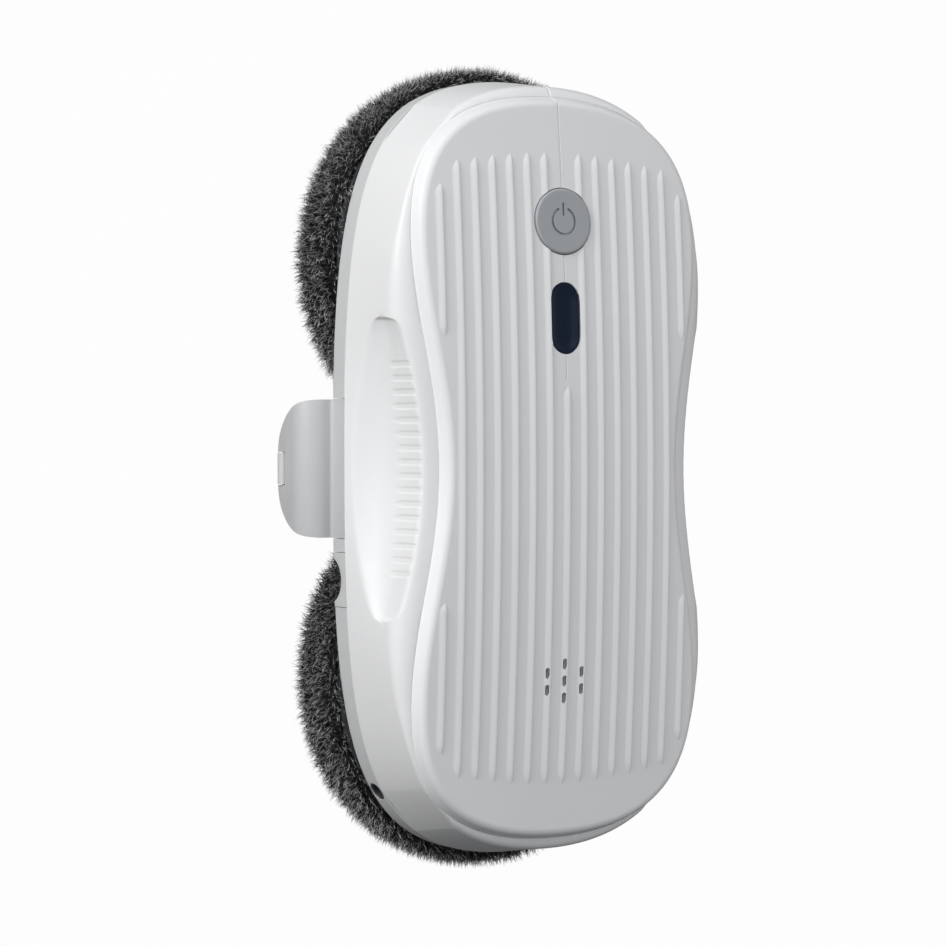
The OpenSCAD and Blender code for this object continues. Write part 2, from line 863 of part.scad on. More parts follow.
module power_button() color(button_grey) at_cover(button_y) {
    translate([0, 0, button_foot]) cylinder(h = button_h, d = button_d);
    translate([0, 0, -wall - stop_gap - flange_gap - flange_t])
        cylinder(h = flange_t, d = button_d + 2 * flange_out);
    translate([0, 0, stem_foot]) cylinder(h = button_foot - stem_foot, d = stem_d);
}

module switch_plunger() color(dark_plastic) at_cover(button_y)
    translate([0, 0, plunger_foot]) cylinder(h = stem_foot - plunger_foot, d = plunger_d);

module button_switch() color(metal) at_cover(button_y) difference() {
    translate([-switch_w / 2, -switch_w / 2, switch_foot]) cube([switch_w, switch_w, switch_h]);
    translate([0, 0, switch_foot + switch_base])
        cylinder(h = switch_h, d = plunger_d + 2 * run_gap);
}

light_guide_w = 8;
light_guide_len = 18;
module light_guide() color("white") {
    foot = board_z + board_t;
    slope = light_guide_len / 2 * lens_y / crown_r_long;
    head = crown([0, lens_y]) - wall - flange_gap - flange_t - slope - stop_gap;
    translate([0, lens_y, foot])
        linear_extrude(head - foot) stadium_2d(light_guide_w, light_guide_len);
}

speaker_h = 5;
speaker_rim = 1;
speaker_top = crown([0, abs(speaker_y) + speaker_d / 2]) - wall - flange_gap;
module speaker() color(dark_plastic) translate([0, speaker_y, speaker_top - speaker_h])
    difference() {
        cylinder(h = speaker_h, d = speaker_d);
        translate([0, 0, speaker_h - speaker_rim])
            cylinder(h = speaker_h, d = speaker_d - 2 * speaker_rim);
    }

// Circuit board, with its parts; each row is [x, y, length, width, height]
board_half_w = 30;
board_near_y = 40;
board_far_y = 99;
board_hole_x = 26;
board_hole_in = 4;
board_parts = [
    [-22, 66, 12, 12, 1.6], [9, 44, 12, 6, 7], [-22, 50, 8, 8, 8],
    [18, 74, 9, 9, 1.8], [-20, 84, 7, 5, 2.4], [12, 85, 10, 5, 3]];

module at_board_screws() {
    for (y = [board_near_y + board_hole_in, board_far_y - board_hole_in])
        for (side = [-1, 1]) translate([side * board_hole_x, y, 0]) children();
}

module main_board() color(board_green) translate([0, 0, board_z]) {
    difference() {
        translate([-board_half_w, board_near_y, 0])
            cube([2 * board_half_w, board_far_y - board_near_y, board_t]);
        at_board_screws() translate([0, 0, -over])
            cylinder(h = board_t + 2 * over, d = screw_d + 2 * screw_gap);
    }
    for (p = board_parts)
        translate([p[0], p[1], board_t]) cube([p[2], p[3], p[4]]);
}

// Battery pack of two cells in a tray, across the housing
battery_y = -47.7;
tray_t = 0.8;
cell_gap = 0.4;
cell_pitch = cell_d + cell_gap;
cell_tip_d = 7;
cell_tip_t = 0.8;
strap_w = 9;
strap_t = 0.4;
module battery_pack() color([0.16, 0.30, 0.45]) translate([0, battery_y, chassis_top]) {
    translate([-cell_len / 2, -cell_pitch, 0])
        cube([cell_len, 2 * cell_pitch, cell_d / 4]);
    for (side = [-1, 1]) translate([0, side * cell_pitch / 2, cell_d / 2 + tray_t]) {
        rotate([0, 90, 0]) cylinder(h = cell_len, d = cell_d, center = true);
        rotate([0, 90, 0])
            cylinder(h = cell_len + 2 * cell_tip_t, d = cell_tip_d, center = true);
    }
    translate([-strap_w / 2, -cell_pitch / 2, cell_d / 2])
        cube([strap_w, cell_pitch, cell_d / 2 + tray_t + strap_t]);
}

speaker_post_d = 9;
motor_clear = 0.6;
fan_clear = 0.6;
board_post_d = 6.4;
cable_slot = [22, 6];
cable_slot_y = 31;
module chassis() color(dark_plastic) {
    difference() {
        translate([-chassis_half_w, -chassis_half_len, chassis_z])
            cube([2 * chassis_half_w, 2 * chassis_half_len, chassis_t]);
        translate([0, 0, chassis_z - over]) {
            cylinder(h = chassis_t + 2 * over, r = fan_r + duct_wall + fan_clear);
            translate([0, fan_spout_y - fan_clear, 0])
                cube([chassis_half_w + over, spout_w + 2 * fan_clear, chassis_t + 2 * over]);
            for (side = [-1, 1]) translate([0, side * motor_y, 0])
                cylinder(h = chassis_t + 2 * over, d = motor_d + 2 * motor_clear);
            for (y = [post_near_y, post_far_y])
                at_four(post_x, y)
                    cylinder(h = chassis_t + 2 * over, d = screw_d + 2 * screw_gap);
            translate([-cable_slot.x / 2, cable_slot_y, 0])
                cube([cable_slot.x, cable_slot.y, chassis_t + 2 * over]);
        }
    }
    at_board_screws() translate([0, 0, chassis_top - over])
        tube(board_post_d, screw_d + 2 * screw_gap, board_lift + over);
    translate([0, speaker_y, chassis_top - over])
        cylinder(h = speaker_top - speaker_h - chassis_top + over, d = speaker_post_d);
}

// Air duct over the two suction openings, with the fan housing on top
module duct_2d(grow) {
    for (side = [-1, 1]) translate([0, side * unit_y]) circle(r = duct_r + grow);
    translate([-duct_half_w - grow, -unit_y]) square([2 * (duct_half_w + grow), 2 * unit_y]);
}

module air_duct() color(dark_plastic) difference() {
    translate([0, 0, floor_top]) linear_extrude(duct_h) duct_2d(0);
    translate([0, 0, floor_top - over]) linear_extrude(duct_h - duct_wall + over)
        duct_2d(-duct_wall);
    for (side = [-1, 1]) translate([0, side * unit_y, floor_top])
        cylinder(h = duct_h + over, d = boss_d + 2 * seam_gap);
    translate([0, 0, floor_top]) cylinder(h = duct_h + over, r = fan_inlet_r);
}

fan_spout_y = 12.2;
shaft_clear = 1.5;
module fan_housing() color(dark_plastic) {
    outer_r = fan_r + duct_wall;
    difference() {
        translate([0, 0, duct_top]) {
            cylinder(h = fan_h, r = outer_r);
            translate([0, fan_spout_y, 0]) cube([spout_len, spout_w, fan_h]);
        }
        translate([0, 0, duct_top + duct_wall]) {
            cylinder(h = fan_h - 2 * duct_wall, r = fan_r);
            translate([0, fan_spout_y + duct_wall, 0])
                cube([spout_len + over, spout_w - 2 * duct_wall, fan_h - 2 * duct_wall]);
        }
        translate([0, 0, duct_top - over]) cylinder(h = duct_wall + 2 * over, r = fan_inlet_r);
        translate([0, 0, fan_top - duct_wall - over])
            cylinder(h = duct_wall + 2 * over, d = fan_shaft_d + 2 * shaft_clear);
    }
}

blade_t = 1.2;
blade_lean = 28;
blade_root_share = 0.36;
blade_foot = duct_top + duct_wall + blade_gap / 2;
impeller_top = fan_top - duct_wall - blade_gap / 2;
module fan_impeller() color(pale_grey) {
    translate([0, 0, impeller_top - impeller_plate_t])
        cylinder(h = impeller_plate_t, r = impeller_r);
    translate([0, 0, blade_foot]) {
        cylinder(h = impeller_top - blade_foot, d = impeller_hub_d);
        linear_extrude(impeller_top - blade_foot - impeller_plate_t / 2) intersection() {
            circle(r = impeller_r);
            for (k = [0 : blade_count - 1]) rotate(360 * k / blade_count)
                translate([impeller_r * blade_root_share, 0]) rotate(blade_lean)
                    square([impeller_r, blade_t]);
        }
    }
    translate([0, 0, impeller_top - over])
        cylinder(h = fan_top + fan_shaft_in - impeller_top + over, d = fan_shaft_d);
}

fan_shaft_in = 6;
fan_cap_h = 2;
module fan_motor() color(metal) difference() {
    translate([0, 0, fan_top]) {
        cylinder(h = fan_motor_h, d = fan_motor_d);
        translate([0, 0, fan_motor_h]) cylinder(h = fan_cap_h, d = fan_motor_d / 2);
    }
    translate([0, 0, fan_top - over])
        cylinder(h = fan_shaft_in + seam_gap + over, d = fan_shaft_d + 2 * run_gap);
}

// Drive: a geared motor, its pinion and the big gear on the disc's shaft
motor_can_share = 0.77;
motor_can_h = 4;
motor_bore_h = 8;
pinion_shaft_in = 7.5;
module drive_motor(side) at_unit(side) translate([0, centre_distance, motor_z]) difference() {
    union() {
        cylinder(h = motor_h, d = motor_d);
        cylinder(h = motor_h + motor_can_h, d = motor_d * motor_can_share);
        linear_extrude(ear_t) {
            square([2 * motor_ear_x, 2 * ear_r], center = true);
            for (x = [-motor_ear_x, motor_ear_x]) translate([x, 0]) circle(r = ear_r);
        }
    }
    translate([0, 0, -over])
        cylinder(h = motor_bore_h + over, d = motor_shaft_d + 2 * run_gap);
}
module drive_motor_upper() color(metal) drive_motor(1);
module drive_motor_lower() color(metal) drive_motor(-1);

// Involute teeth
pressure_angle = 20;
function involute(a) = tan(a) * 180 / PI - a;
function half_tooth(r, pitch_r, n) =
    let (base_r = pitch_r * cos(pressure_angle))
    90 / n - backlash / pitch_r * 180 / PI + involute(pressure_angle)
    - (r > base_r ? involute(acos(base_r / r)) : 0);

module teeth_2d(n, head_share, foot_share) {
    pitch_r = gear_module * n / 2;
    foot = pitch_r - foot_share * gear_module;
    head = pitch_r + head_share * gear_module;
    radii = [for (f = [0, 0.4, 0.7, 1]) foot + (head - foot) * f];
    polygon([for (k = [0 : n - 1]) for (i = [0 : 7])
        let (
            r = radii[i < 4 ? i : 7 - i],
            a = 360 * k / n + (i < 4 ? -1 : 1) * half_tooth(r, pitch_r, n))
        r * [cos(a), sin(a)]]);
}

gear_head_share = 0.75;
gear_foot_share = 1.15;
pinion_head_share = 0.95;
pinion_foot_share = 1;
web_hole_r = 6;
web_hole_at = 19;
web_hole_count = 6;
module drive_gear(side) at_unit(side) translate([0, 0, gear_z]) linear_extrude(gear_face)
    difference() {
        teeth_2d(gear_teeth, gear_head_share, gear_foot_share);
        circle(d = shaft_d + 2 * run_gap);
        for (k = [0 : web_hole_count - 1])
            rotate(360 * k / web_hole_count) translate([web_hole_at, 0]) circle(r = web_hole_r);
    }
module drive_gear_upper() color("white") drive_gear(1);
module drive_gear_lower() color("white") drive_gear(-1);

pinion_over = 0.5;
module drive_pinion(side) at_unit(side) translate([0, centre_distance, gear_z - pinion_over]) {
    face = gear_face + 2 * pinion_over;
    rotate(180 / pinion_teeth) linear_extrude(face)
        teeth_2d(pinion_teeth, pinion_head_share, pinion_foot_share);
    cylinder(h = face + motor_lift - pinion_over + pinion_shaft_in, d = motor_shaft_d);
}
module drive_pinion_upper() color(metal) drive_pinion(1);
module drive_pinion_lower() color(metal) drive_pinion(-1);

module shaft_bush(side) at_unit(side) difference() {
    union() {
        translate([0, 0, band_z]) cylinder(h = boss_top - band_z, d = bush_d);
        translate([0, 0, boss_top]) cylinder(h = bush_flange_t, d = boss_d);
    }
    translate([0, 0, band_z - over])
        cylinder(h = boss_top + bush_flange_t - band_z + 2 * over, d = shaft_d + 2 * run_gap);
}
module shaft_bush_upper() color(metal) shaft_bush(1);
module shaft_bush_lower() color(metal) shaft_bush(-1);

clip_d = 15;
module gear_clip(side) at_unit(side) translate([0, 0, clip_z])
    tube(clip_d, shaft_d + 2 * run_gap, clip_t);
module gear_clip_upper() color(metal) gear_clip(1);
module gear_clip_lower() color(metal) gear_clip(-1);

// Mop unit: disc with hub and shaft, hook ring, pad
hub_gap = 0.4;
module mop_disc(side) at_unit(side) translate([0, 0, disc_z]) difference() {
    union() {
        cylinder(h = disc_t, d = disc_d);
        cylinder(h = band_z - hub_gap - disc_z, d = hub_d);
        cylinder(h = shaft_top - disc_z, d = shaft_d);
    }
    suction_slots(disc_t);
}
module mop_disc_upper() color(dark_plastic) mop_disc(1);
module mop_disc_lower() color(dark_plastic) mop_disc(-1);

hook_outer_d = 124;
hook_inner_d = 72;
module hook_ring(side) at_unit(side) translate([0, 0, hook_z])
    tube(hook_outer_d, hook_inner_d, hook_t);
module hook_ring_upper() color(fur_grey) hook_ring(1);
module hook_ring_lower() color(fur_grey) hook_ring(-1);

module mop_pad(side) at_unit(side) rotate_extrude() {
    outer_r = pad_d / 2;
    translate([pad_bore / 2, 0]) square([outer_r - pad_round - pad_bore / 2, pad_h]);
    translate([pad_bore / 2, pad_round])
        square([outer_r - pad_bore / 2, pad_h - 2 * pad_round]);
    for (z = [pad_round, pad_h - pad_round])
        translate([outer_r - pad_round, z]) circle(r = pad_round);
}
module mop_pad_upper() color(fur_grey) mop_pad(1);
module mop_pad_lower() color(fur_grey) mop_pad(-1);

// Side guard, on the +X side: a segment of the band with a bent skirt
notch_top_gap = 0.7;
module guard_profile() {
    top = band_z - seam_gap;
    bend_x = guard_plate_x - guard_bend;
    segment_x = half_w - guard_segment_t;
    translate([segment_x, band_z - guard_t]) square([guard_segment_t, band_h + guard_t]);
    translate([segment_x, top - guard_t]) square([bend_x - segment_x, guard_t]);
    translate([segment_x - guard_foot, floor_top]) square([guard_foot + over, guard_t]);
    translate([bend_x, top - guard_bend]) intersection() {
        ring_2d(2 * guard_bend, 2 * (guard_bend - guard_t));
        square(guard_bend);
    }
    translate([guard_plate_x - guard_t, guard_tip_z])
        square([guard_t, top - guard_bend - guard_tip_z]);
}

// Outline of the guard seen from the side, with its two round corners
module guard_outline() {
    half = guard_len / 2;
    square_top = seam_z - guard_tip_z - guard_corner;
    translate([-half, guard_tip_z + guard_corner]) square([guard_len, square_top]);
    translate([-half + guard_corner, guard_tip_z])
        square([guard_len - 2 * guard_corner, guard_corner + over]);
    for (side = [-1, 1])
        translate([side * (half - guard_corner), guard_tip_z + guard_corner])
            circle(r = guard_corner);
}

module side_guard() difference() {
    intersection() {
        translate([0, guard_len / 2, 0]) rotate([90, 0, 0]) linear_extrude(guard_len)
            guard_profile();
        translate([half_w / 2, 0, 0]) rotate([90, 0, 90]) linear_extrude(half_w)
            guard_outline();
    }
    // The band's own outline trims the segment above the skirt
    translate([0, 0, band_z]) linear_extrude(band_h + over) difference() {
        translate([0, -guard_len]) square([body_w, 2 * guard_len]);
        polygon(base_loop);
    }
    notch = roller_len + 2 * guard_notch_gap;
    translate([half_w, -notch / 2, guard_tip_z - over])
        cube([2 * guard_out, notch, roller_d + notch_top_gap + over]);
    translate([roller_x, 0, roller_z]) rotate([90, 0, 0])
        cylinder(h = roller_pin_len, d = roller_pin_d, center = true);
}
module side_guard_left() color(pale_grey) mirror_side(-1) side_guard();
module side_guard_right() color(pale_grey) side_guard();

module at_roller(side) {
    translate([side * roller_x, 0, roller_z]) rotate([90, 0, 0]) children();
}
module roller_pin_left() color(metal) at_roller(-1)
    cylinder(h = roller_pin_len, d = roller_pin_d, center = true);
module roller_pin_right() color(metal) at_roller(1)
    cylinder(h = roller_pin_len, d = roller_pin_d, center = true);
module guard_roller() translate([0, 0, -roller_len / 2])
    tube(roller_d, roller_pin_d + 2 * run_gap, roller_len);
module guard_roller_left() color(dark_plastic) at_roller(-1) guard_roller();
module guard_roller_right() color(dark_plastic) at_roller(1) guard_roller();

module screw(shank) difference() {
    union() {
        cylinder(h = shank, d = screw_d);
        translate([0, 0, shank]) cylinder(h = screw_head_h, d = screw_head_d);
    }
    translate([-screw_head_d / 2, -screw_slot_w / 2, shank + screw_head_h / 2])
        cube([screw_head_d, screw_slot_w, screw_head_h]);
}
screw_slot_w = 0.8;

module housing_screws() color(metal) at_housing_screws()
    translate([0, 0, band_z + screw_head_h + housing_screw_len]) rotate([180, 0, 0])
        screw(housing_screw_len);

board_screw_len = 5;
module chassis_screws() color(metal) {
    for (y = [post_near_y, post_far_y])
        at_four(post_x, y) translate([0, 0, chassis_top - screw_len + over]) screw(screw_len - over);
    at_board_screws() translate([0, 0, board_z + board_t - board_screw_len])
        screw(board_screw_len);
}

lower_shell();
upper_shell();
top_cover();
indicator_lens();
light_guide();
speaker();
cord_guide();
dc_inlet();
side_guard_left();
side_guard_right();
roller_pin_left();
roller_pin_right();
guard_roller_left();
guard_roller_right();
power_button();
switch_plunger();
button_switch();
main_board();
battery_pack();
chassis();
air_duct();
fan_housing();
fan_impeller();
fan_motor();
drive_motor_upper();
drive_motor_lower();
drive_pinion_upper();
drive_pinion_lower();
drive_gear_upper();
drive_gear_lower();
shaft_bush_upper();
shaft_bush_lower();
gear_clip_upper();
gear_clip_lower();
mop_disc_upper();
mop_disc_lower();
hook_ring_upper();
hook_ring_lower();
mop_pad_upper();
mop_pad_lower();
housing_screws();
chassis_screws();
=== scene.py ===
# %% [markdown]
# # Window cleaning robot
# The robot lies on its two round mop pads, with its white ribbed cover up.
# Lengths below are millimetres, as on a maker's drawing, and are turned into
# metres only where a mesh is made, because Blender works in metres.

# %% Load the frame
import json
import math
from functools import partial

import bmesh
import bpy
import numpy as np
from mathutils import Matrix, Vector

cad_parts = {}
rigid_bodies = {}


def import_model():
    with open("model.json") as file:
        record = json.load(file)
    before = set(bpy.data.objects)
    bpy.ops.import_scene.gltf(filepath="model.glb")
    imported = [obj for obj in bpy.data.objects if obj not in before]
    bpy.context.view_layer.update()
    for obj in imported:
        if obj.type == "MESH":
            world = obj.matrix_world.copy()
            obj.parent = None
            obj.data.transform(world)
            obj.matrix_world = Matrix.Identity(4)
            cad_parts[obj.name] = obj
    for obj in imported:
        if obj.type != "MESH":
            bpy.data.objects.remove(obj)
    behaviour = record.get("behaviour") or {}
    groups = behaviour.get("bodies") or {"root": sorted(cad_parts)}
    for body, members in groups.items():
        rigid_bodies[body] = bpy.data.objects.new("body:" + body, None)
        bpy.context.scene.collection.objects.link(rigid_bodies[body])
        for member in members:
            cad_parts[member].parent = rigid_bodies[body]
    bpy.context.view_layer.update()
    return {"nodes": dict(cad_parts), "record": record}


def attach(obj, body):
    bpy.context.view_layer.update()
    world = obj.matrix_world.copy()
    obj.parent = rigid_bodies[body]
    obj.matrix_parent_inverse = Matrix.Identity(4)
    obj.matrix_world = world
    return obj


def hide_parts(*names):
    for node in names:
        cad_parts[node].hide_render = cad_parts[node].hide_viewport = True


for leftover in list(bpy.data.objects):
    bpy.data.objects.remove(leftover, do_unlink=True)
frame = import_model()
MM = 0.001
print("nodes in the frame:", len(frame["nodes"]))

# %% [markdown]
# ## The curves of the housing
# Every moulded piece follows the same two closed curves: the plain outline
# of the base, and the waisted crease where the cover meets the shoulder. A
# quarter of each is a Bezier curve, and the rest is mirrored. Points on the
# two curves are paired, so that a surface can be drawn between them.

# %% Outline curves
HALF_W, HALF_LEN = 70.0, 143.5
BAND_Z, BAND_H = 28.0, 8.5
SEAM_Z = BAND_Z + BAND_H
CROWN_Z, CROWN_R_LONG, CROWN_R_CROSS = 77.2, 1400.0, 1700.0
COVER_RISE, LEDGE_Z, WALL = 4.8, 62.0, 2.4
WAIST_HALF, BULGE_HALF = HALF_W - 19, HALF_W - 9
CREASE_LEN, BULGE_Y = HALF_LEN - 8.2, HALF_LEN * 0.578
WAIST_PINCH, END_DRAFT = 6.0, 3.8
SPLIT, WAIST_STEPS, LAST_STEP = 0.36, 7.0, 18.0

BASE_X = [HALF_W, HALF_W, HALF_W * 0.943, 0]
BASE_Y = [0, HALF_LEN * 0.641, HALF_LEN, HALF_LEN]
WAIST_CURVE = [(WAIST_HALF, 0), (WAIST_HALF, BULGE_Y * 0.386),
               (BULGE_HALF, BULGE_Y * 0.651), (BULGE_HALF, BULGE_Y)]
END_CURVE = [(BULGE_HALF, BULGE_Y),
             (BULGE_HALF, BULGE_Y + (CREASE_LEN - BULGE_Y) * 0.60),
             (BULGE_HALF * 0.76, CREASE_LEN), (0, CREASE_LEN)]


def bezier(points, t):
    points = np.asarray(points, float)
    points = points.reshape(4, -1)
    t = np.asarray(t, float).reshape(-1, 1)
    return ((1 - t) ** 3 * points[0] + 3 * (1 - t) ** 2 * t * points[1]
            + 3 * (1 - t) * t * t * points[2] + t ** 3 * points[3])


def base_quarter(s):
    """Points of the plain outline at the steps s, from the side to the end."""
    s = np.asarray(s, float)
    t = np.where(s < WAIST_STEPS, SPLIT * s / WAIST_STEPS,
                 SPLIT + (1 - SPLIT) * (s - WAIST_STEPS) / (LAST_STEP - WAIST_STEPS))
    return bezier(np.column_stack([BASE_X, BASE_Y]), t)


def crease_quarter(s):
    s = np.asarray(s, float)
    near = bezier(WAIST_CURVE, np.clip(s / WAIST_STEPS, 0, 1))
    far = bezier(END_CURVE, np.clip((s - WAIST_STEPS) / (LAST_STEP - WAIST_STEPS), 0, 1))
    return np.where((s < WAIST_STEPS)[:, None], near, far)


def pinch_at(y):
    return np.where(np.abs(y) < BULGE_Y, np.cos(np.pi / 2 * y / BULGE_Y) ** 2, 0)


def foot_quarter(s):
    """Top of the side wall, drawn in at the waist and a little at the ends."""
    p = base_quarter(s)
    return np.column_stack([p[:, 0] * (1 - WAIST_PINCH / HALF_W * pinch_at(p[:, 1])),
                            p[:, 1] * (1 - END_DRAFT / HALF_LEN)])


def crown(x, y):
    return (CROWN_Z - (CROWN_R_LONG - np.sqrt(CROWN_R_LONG ** 2 - np.asarray(y) ** 2))
            - (CROWN_R_CROSS - np.sqrt(CROWN_R_CROSS ** 2 - np.asarray(x) ** 2)))


def crease_z(x, y):
    return crown(x, y) - COVER_RISE


def mirrored(q):
    """A quarter's rows (steps, ...) mirrored into the whole closed loop."""
    flip_x, flip_y = q.copy(), q.copy()
    flip_x[..., 0] *= -1
    flip_y[..., 1] *= -1
    both = flip_x.copy()
    both[..., 1] *= -1
    return np.concatenate([q[:-1], flip_x[:0:-1], both[:-1], flip_y[:0:-1]])


def outward(loop):
    """Unit normals of a closed loop that runs counter-clockwise."""
    v = np.roll(loop, -1, 0)[:, :2] - np.roll(loop, 1, 0)[:, :2]
    n = np.column_stack([v[:, 1], -v[:, 0]])
    return n / np.linalg.norm(n, axis=1)[:, None]


def inset(loop, d):
    return loop[:, :2] - d * outward(loop)


# %% [markdown]
# ## Small helpers for meshes
# A moulded surface is a grid of points: rings stacked on each other. The
# helpers below turn such grids into meshes, join cutters into one object,
# and cut with Blender's exact boolean.

# %% Mesh helpers
def placed(name, data):
    """An object for a mesh, lamp or camera, put into the scene."""
    obj = bpy.data.objects.new(name, data)
    bpy.context.scene.collection.objects.link(obj)
    return obj


def make_object(name, verts_mm, faces, smooth=True):
    mesh = bpy.data.meshes.new(name)
    mesh.from_pydata([tuple(v) for v in np.asarray(verts_mm, float) * MM], [], faces)
    mesh.validate()
    if smooth:
        mesh.shade_smooth()
    return placed(name, mesh)


def ring_faces(n, m):
    """Quads of m rings with n points each, counter-clockwise from outside."""
    return [(k * n + i, k * n + (i + 1) % n, (k + 1) * n + (i + 1) % n, (k + 1) * n + i)
            for k in range(m - 1) for i in range(n)]


def stacked(name, rings):
    """A closed solid through rings of equal length, low ring first."""
    n, m = len(rings[0]), len(rings)
    caps = [tuple(range(n - 1, -1, -1)), tuple((m - 1) * n + i for i in range(n))]
    return make_object(name, np.concatenate(rings), ring_faces(n, m) + caps)


def looped(name, rings):
    """A closed solid whose last ring joins the first one again."""
    n, m = len(rings[0]), len(rings)
    last = [((m - 1) * n + i, (m - 1) * n + (i + 1) % n, (i + 1) % n, i) for i in range(n)]
    return make_object(name, np.concatenate(rings), ring_faces(n, m) + last)


def lift(loop, z):
    return np.column_stack([loop[:, :2], np.broadcast_to(z, len(loop))])


def circle(r, n, x=0.0, y=0.0):
    a = np.arange(n) * 2 * np.pi / n
    return np.column_stack([x + r * np.cos(a), y + r * np.sin(a)])


def stadium(w, length, n=32, y=0.0):
    """Closed outline of a slot with round ends, along Y."""
    r, half = w / 2, (length - w) / 2
    a = np.linspace(0, np.pi, n)
    top = np.column_stack([r * np.cos(a), half + r * np.sin(a)])
    return np.concatenate([top, -top]) + [0, y]


def prism(name, outline, z0, z1):
    return stacked(name, [lift(outline, z0), lift(outline, z1)])


def block(name, low, high):
    (x0, y0, z0), (x1, y1, z1) = low, high
    return prism(name, np.array([(x0, y0), (x1, y0), (x1, y1), (x0, y1)]), z0, z1)


def turned(name, profile, n=96, x=0.0, y=0.0):
    """Solid of revolution about Z from (radius, height) points, low to high."""
    return stacked(name, [lift(circle(max(r, 0.001), n, x, y), z) for r, z in profile])


def ring_solid(name, profile, n=96, x=0.0, y=0.0):
    """A closed section turned about Z, leaving its middle open."""
    return looped(name, [lift(circle(r, n, x, y), z) for r, z in profile])


def moved(obj, matrix):
    obj.data.transform(matrix)
    obj.data.update()
    return obj


def joined(name, parts):
    """Several objects as one, with their meshes put together."""
    bm = bmesh.new()
    for p in parts:
        bm.from_mesh(p.data)
    mesh = bpy.data.meshes.new(name)
    bm.to_mesh(mesh)
    bm.free()
    for p in parts:
        bpy.data.objects.remove(p, do_unlink=True)
    return placed(name, mesh)


def applied(obj):
    """The object's modifiers worked into its mesh."""
    deps = bpy.context.evaluated_depsgraph_get()
    mesh = bpy.data.meshes.new_from_object(obj.evaluated_get(deps))
    obj.modifiers.clear()
    obj.data = mesh
    return obj


def combined(obj, other, operation):
    mod = obj.modifiers.new("combine", "BOOLEAN")
    mod.operation, mod.solver, mod.object = operation, "EXACT", other
    applied(obj)
    bpy.data.objects.remove(other, do_unlink=True)
    return obj


def cut(obj, cutters):
    return combined(obj, joined("cutters", cutters), "DIFFERENCE")


def softened(obj, angle=32, bevel=0.0, segments=2):
    """Smooth shading that keeps the edges, which a small bevel may round."""
    if bevel:
        mod = obj.modifiers.new("edges", "BEVEL")
        mod.width, mod.segments = bevel * MM, segments
        mod.limit_method, mod.angle_limit = "ANGLE", math.radians(angle)
        applied(obj)
    obj.data.shade_smooth()
    obj.data.set_sharp_from_angle(angle=math.radians(angle))
    return obj


print("helpers ready")

# %% [markdown]
# ## The upper shell
# The real shell is one moulding. Its wall rises from the seam, turns over a
# quarter-round shoulder into the crease, and a boat-shaped recess with grip
# grooves is scooped out of each long side. Because the surface follows a
# rule, each upright section of it is worked out as a line, with soft
# corners, and the sections are joined into one grid. A boolean would leave
# hard edges that are difficult to round evenly.

# %% Sections of the upper shell
HANDLE_LEN, HANDLE_DEPTH, HANDLE_LOW, HANDLE_TIP, COVE_R = 112.0, 6.3, 7.5, 21.7, 11.4
SCOOP_R, SCOOP_DROP = 26.0, 7.8
GRIP_COUNT, GRIP_PITCH, GRIP_W, GRIP_D = 16, 5.0, 2.4, 0.24
LIP_ROUND, TOP_ROUND, SEAM_GAP, TIP_SOFT, NO_RECESS = 3.0, 2.4, 0.2, 1.6, 0.02
GRIP_SOFT, GRIP_FADE = 0.34, 0.8
SHOULDER_SHARE, SHOULDER_ROW = 0.9, 60
SEAM_HALF, SEAM_D, SEAM_SOFT, SEAM_LEAN, SEAM_FROM = 0.45, 0.5, 0.22, 7, 100
# Points that a section has on its wall, lip, cove, upright, head and shoulder
WALL_N, LIP_N, COVE_N, UP_N, HEAD_N, OVER_N = 8, 9, 14, 24, 8, 12


def along(points, count, at=None):
    """A line's points spread anew, evenly or at the given shares."""
    points = np.asarray(points, float)
    d = np.concatenate([[0], np.cumsum(np.linalg.norm(np.diff(points, axis=0), axis=1))])
    want = (np.linspace(0, 1, count) if at is None else np.asarray(at)) * d[-1]
    return np.column_stack([np.interp(want, d, points[:, k]) for k in range(points.shape[1])])


def length_of(points):
    return np.linalg.norm(np.diff(points, axis=0), axis=1).sum()


def smooth_step(v):
    v = np.clip(v, 0, 1)
    return v * v * (3 - 2 * v)


def cut_back(points, d, from_end):
    """The line without its last (or first) stretch of length d."""
    total = max(length_of(points), 1e-9)
    share = min(d / total, 0.48)
    n = max(len(points), 12)
    shares = np.linspace(0, 1 - share, n) if from_end else np.linspace(share, 1, n)
    return along(points, n, shares)


def corner(before, after, count):
    """A soft corner between two lines that have been cut back."""
    a, c = before[-1], after[0]
    v1, v2 = before[-1] - before[-2], after[1] - after[0]
    v1, v2 = v1 / np.linalg.norm(v1), v2 / np.linalg.norm(v2)
    reach = np.linalg.norm(c - a) * 0.5
    t = np.linspace(0, 1, count)
    return bezier([a, a + v1 * reach * 0.9, c - v2 * reach * 0.9, c], t)


def plain_section(low_end, tip, high_end, shoulder):
    """Wall and shoulder without a recess, with points close by at its tip."""
    step = (high_end - low_end) * 0.006
    return np.concatenate([
        along([low_end, tip - step], WALL_N)[:-1],
        along([tip - step, tip + step], LIP_N + COVE_N - 1)[:-1],
        along([tip + step, high_end], UP_N + HEAD_N - 1)[:-1], along(shoulder, OVER_N)])


def pressed_groove(line, y, low, high):
    """The section with the nearest grip groove pressed in, from low to high."""
    nearest = (np.round(y / GRIP_PITCH - 0.5) + 0.5) * GRIP_PITCH
    if abs(nearest) < GRIP_COUNT * GRIP_PITCH / 2:
        away = np.hypot(line[:, 1] - nearest, np.minimum(line[:, 2] - low, 0))
        depth = GRIP_D * smooth_step((GRIP_W / 2 - away) / GRIP_SOFT)
        line[:, 0] -= depth * smooth_step((high + 0.2 - line[:, 2]) / GRIP_FADE)
    return line


